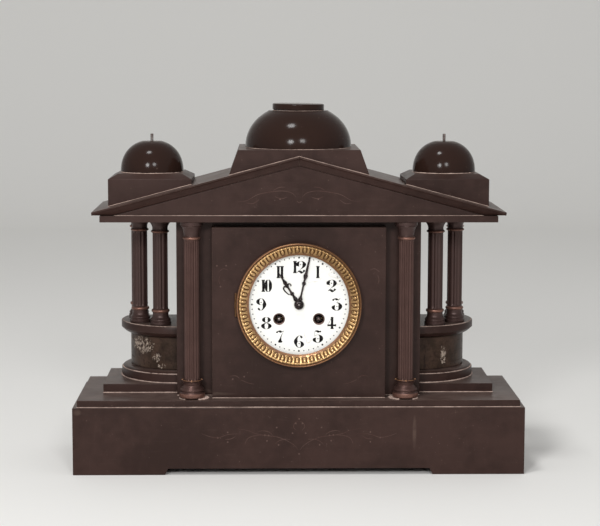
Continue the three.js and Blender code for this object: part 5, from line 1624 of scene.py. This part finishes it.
class DressMovement(bpy.types.Operator):
    """Gives the brass and steel of the movement, bell, seat and rear door their finishes."""

    bl_idname = "clock.dress_movement"
    bl_label = "Dress the movement"

    def execute(self, context):
        slots = {part["node"]: part["material_slot"] for part in frame["record"]["subparts"]}
        # The winding arbors are blackened as painted shade inside the winding holes; the bezel seat takes the
        # tarnish finish
        darker = {
            "bezel_seat": "tarnish",
            "going_winding_arbor": "black_steel",
            "strike_winding_arbor": "black_steel",
        }
        for name, node in frame["nodes"].items():
            node.data.materials.clear()
            node.data.materials.append(finish(darker.get(name, slots[name])))
        return {"FINISHED"}


# Stage


class SetStage(bpy.types.Operator):
    """Sets the pale floor and backdrop, the soft lights and the camera."""

    bl_idname = "clock.set_stage"
    bl_label = "Set the stage"

    def execute(self, context):
        self.floor()
        self.lights(context)
        self.camera(context)
        context.scene.view_settings.view_transform = "Standard"
        return {"FINISHED"}

    def floor(self):
        """A sweep: level floor that curves up into the backdrop."""
        foot, bend = 2.4, 0.8
        profile = [(-4.0, 0.0), (foot, 0.0)]
        for i in range(13):
            angle = math.pi / 2 * i / 12
            profile.append((foot + bend * math.sin(angle), bend - bend * math.cos(angle)))
        profile.append((foot + bend, 3.5))
        bm = bmesh.new()
        rows = [[bm.verts.new((x, y, z)) for x in (-4, 4)] for y, z in profile]
        for low, high in zip(rows, rows[1:]):
            bm.faces.new((low[0], low[1], high[1], high[0]))
        mesh = plain_mesh(bm, "studio_floor")
        mesh.shade_smooth()
        floor = bpy.data.objects.new("studio_floor", mesh)
        bpy.context.scene.collection.objects.link(floor)
        paper = Finish("studio paper", studio().floor, 0.9, specular=0.1)
        mesh.materials.append(paper.done())

    def lights(self, context):
        world = bpy.data.worlds.new("studio room")
        world.use_nodes = True
        background = world.node_tree.nodes["Background"]
        background.inputs["Color"].default_value = (1, 1, 1, 1)
        background.inputs["Strength"].default_value = studio().sky
        context.scene.world = world
        lamps = [
            ("key", studio().key, 0.45, (-0.69, -2.17, 1.05)),
            ("fill", studio().fill, 0.45, (0.32, -2.2, 1.15)),
            ("ceiling", studio().ceiling, 0.42, (-0.41, -0.64, 2.2)),
        ]
        for name, watts, size, place in lamps:
            lamp = bpy.data.lights.new(f"{name}_lamp", "AREA")
            lamp.energy = watts
            lamp.shape = "DISK"
            lamp.size = size
            holder = bpy.data.objects.new(f"{name}_lamp", lamp)
            holder.location = place
            holder.rotation_euler = (Vector((0, 0, 0.18)) - Vector(place)).to_track_quat("-Z", "Y").to_euler()
            context.scene.collection.objects.link(holder)

    def camera(self, context):
        s = studio()
        camera = bpy.data.cameras.new("photo_camera")
        camera.lens = s.lens
        camera.sensor_width = 36
        camera.clip_start = 0.05
        holder = bpy.data.objects.new("photo_camera", camera)
        holder.location = s.place
        holder.rotation_euler = Euler(s.turn)
        context.scene.collection.objects.link(holder)
        context.scene.camera = holder


OPERATORS = (
    SetStage, DressMovement, DressStones, TurnPedestals, TurnDomes, CutPins, FluteColumns, EngraveFoliage,
    LayJoints, ChaseBezel, PaintDial, PierceHands,
)


class ClockPanel(bpy.types.Panel):
    """Sizes, colours and steps of the mantel clock."""

    bl_idname = "VIEW3D_PT_mantel_clock"
    bl_label = "Mantel Clock"
    bl_space_type = "VIEW_3D"
    bl_region_type = "UI"
    bl_category = "Mantel Clock"

    def draw(self, context):
        for title, group in (("Stone", stone()), ("Metal", metal()), ("Dial", dial()), ("Stage", studio())):
            box = self.layout.box()
            box.label(text=title)
            for name in type(group).__annotations__:
                box.prop(group, name)
        for operator in OPERATORS:
            self.layout.operator(operator.bl_idname)


GROUPS = {
    "clock_stone": ClockStone,
    "clock_metal": ClockMetal,
    "clock_dial": ClockDial,
    "clock_stage": ClockStage,
}
CLASSES = (*GROUPS.values(), *OPERATORS, ClockPanel)


def register():
    for each in CLASSES:
        bpy.utils.register_class(each)
    for name, group in GROUPS.items():
        setattr(bpy.types.Scene, name, bpy.props.PointerProperty(type=group))


def unregister():
    for name in GROUPS:
        delattr(bpy.types.Scene, name)
    for each in reversed(CLASSES):
        bpy.utils.unregister_class(each)


def main():
    register()
    bpy.ops.clock.set_stage()
    bpy.ops.clock.dress_movement()
    bpy.ops.clock.dress_stones()
    bpy.ops.clock.turn_pedestals()
    bpy.ops.clock.turn_domes()
    bpy.ops.clock.cut_pins()
    bpy.ops.clock.flute_columns()
    bpy.ops.clock.engrave_foliage()
    bpy.ops.clock.lay_joints()
    bpy.ops.clock.chase_bezel()
    bpy.ops.clock.paint_dial()
    bpy.ops.clock.pierce_hands()


if __name__ == "__main__":
    main()
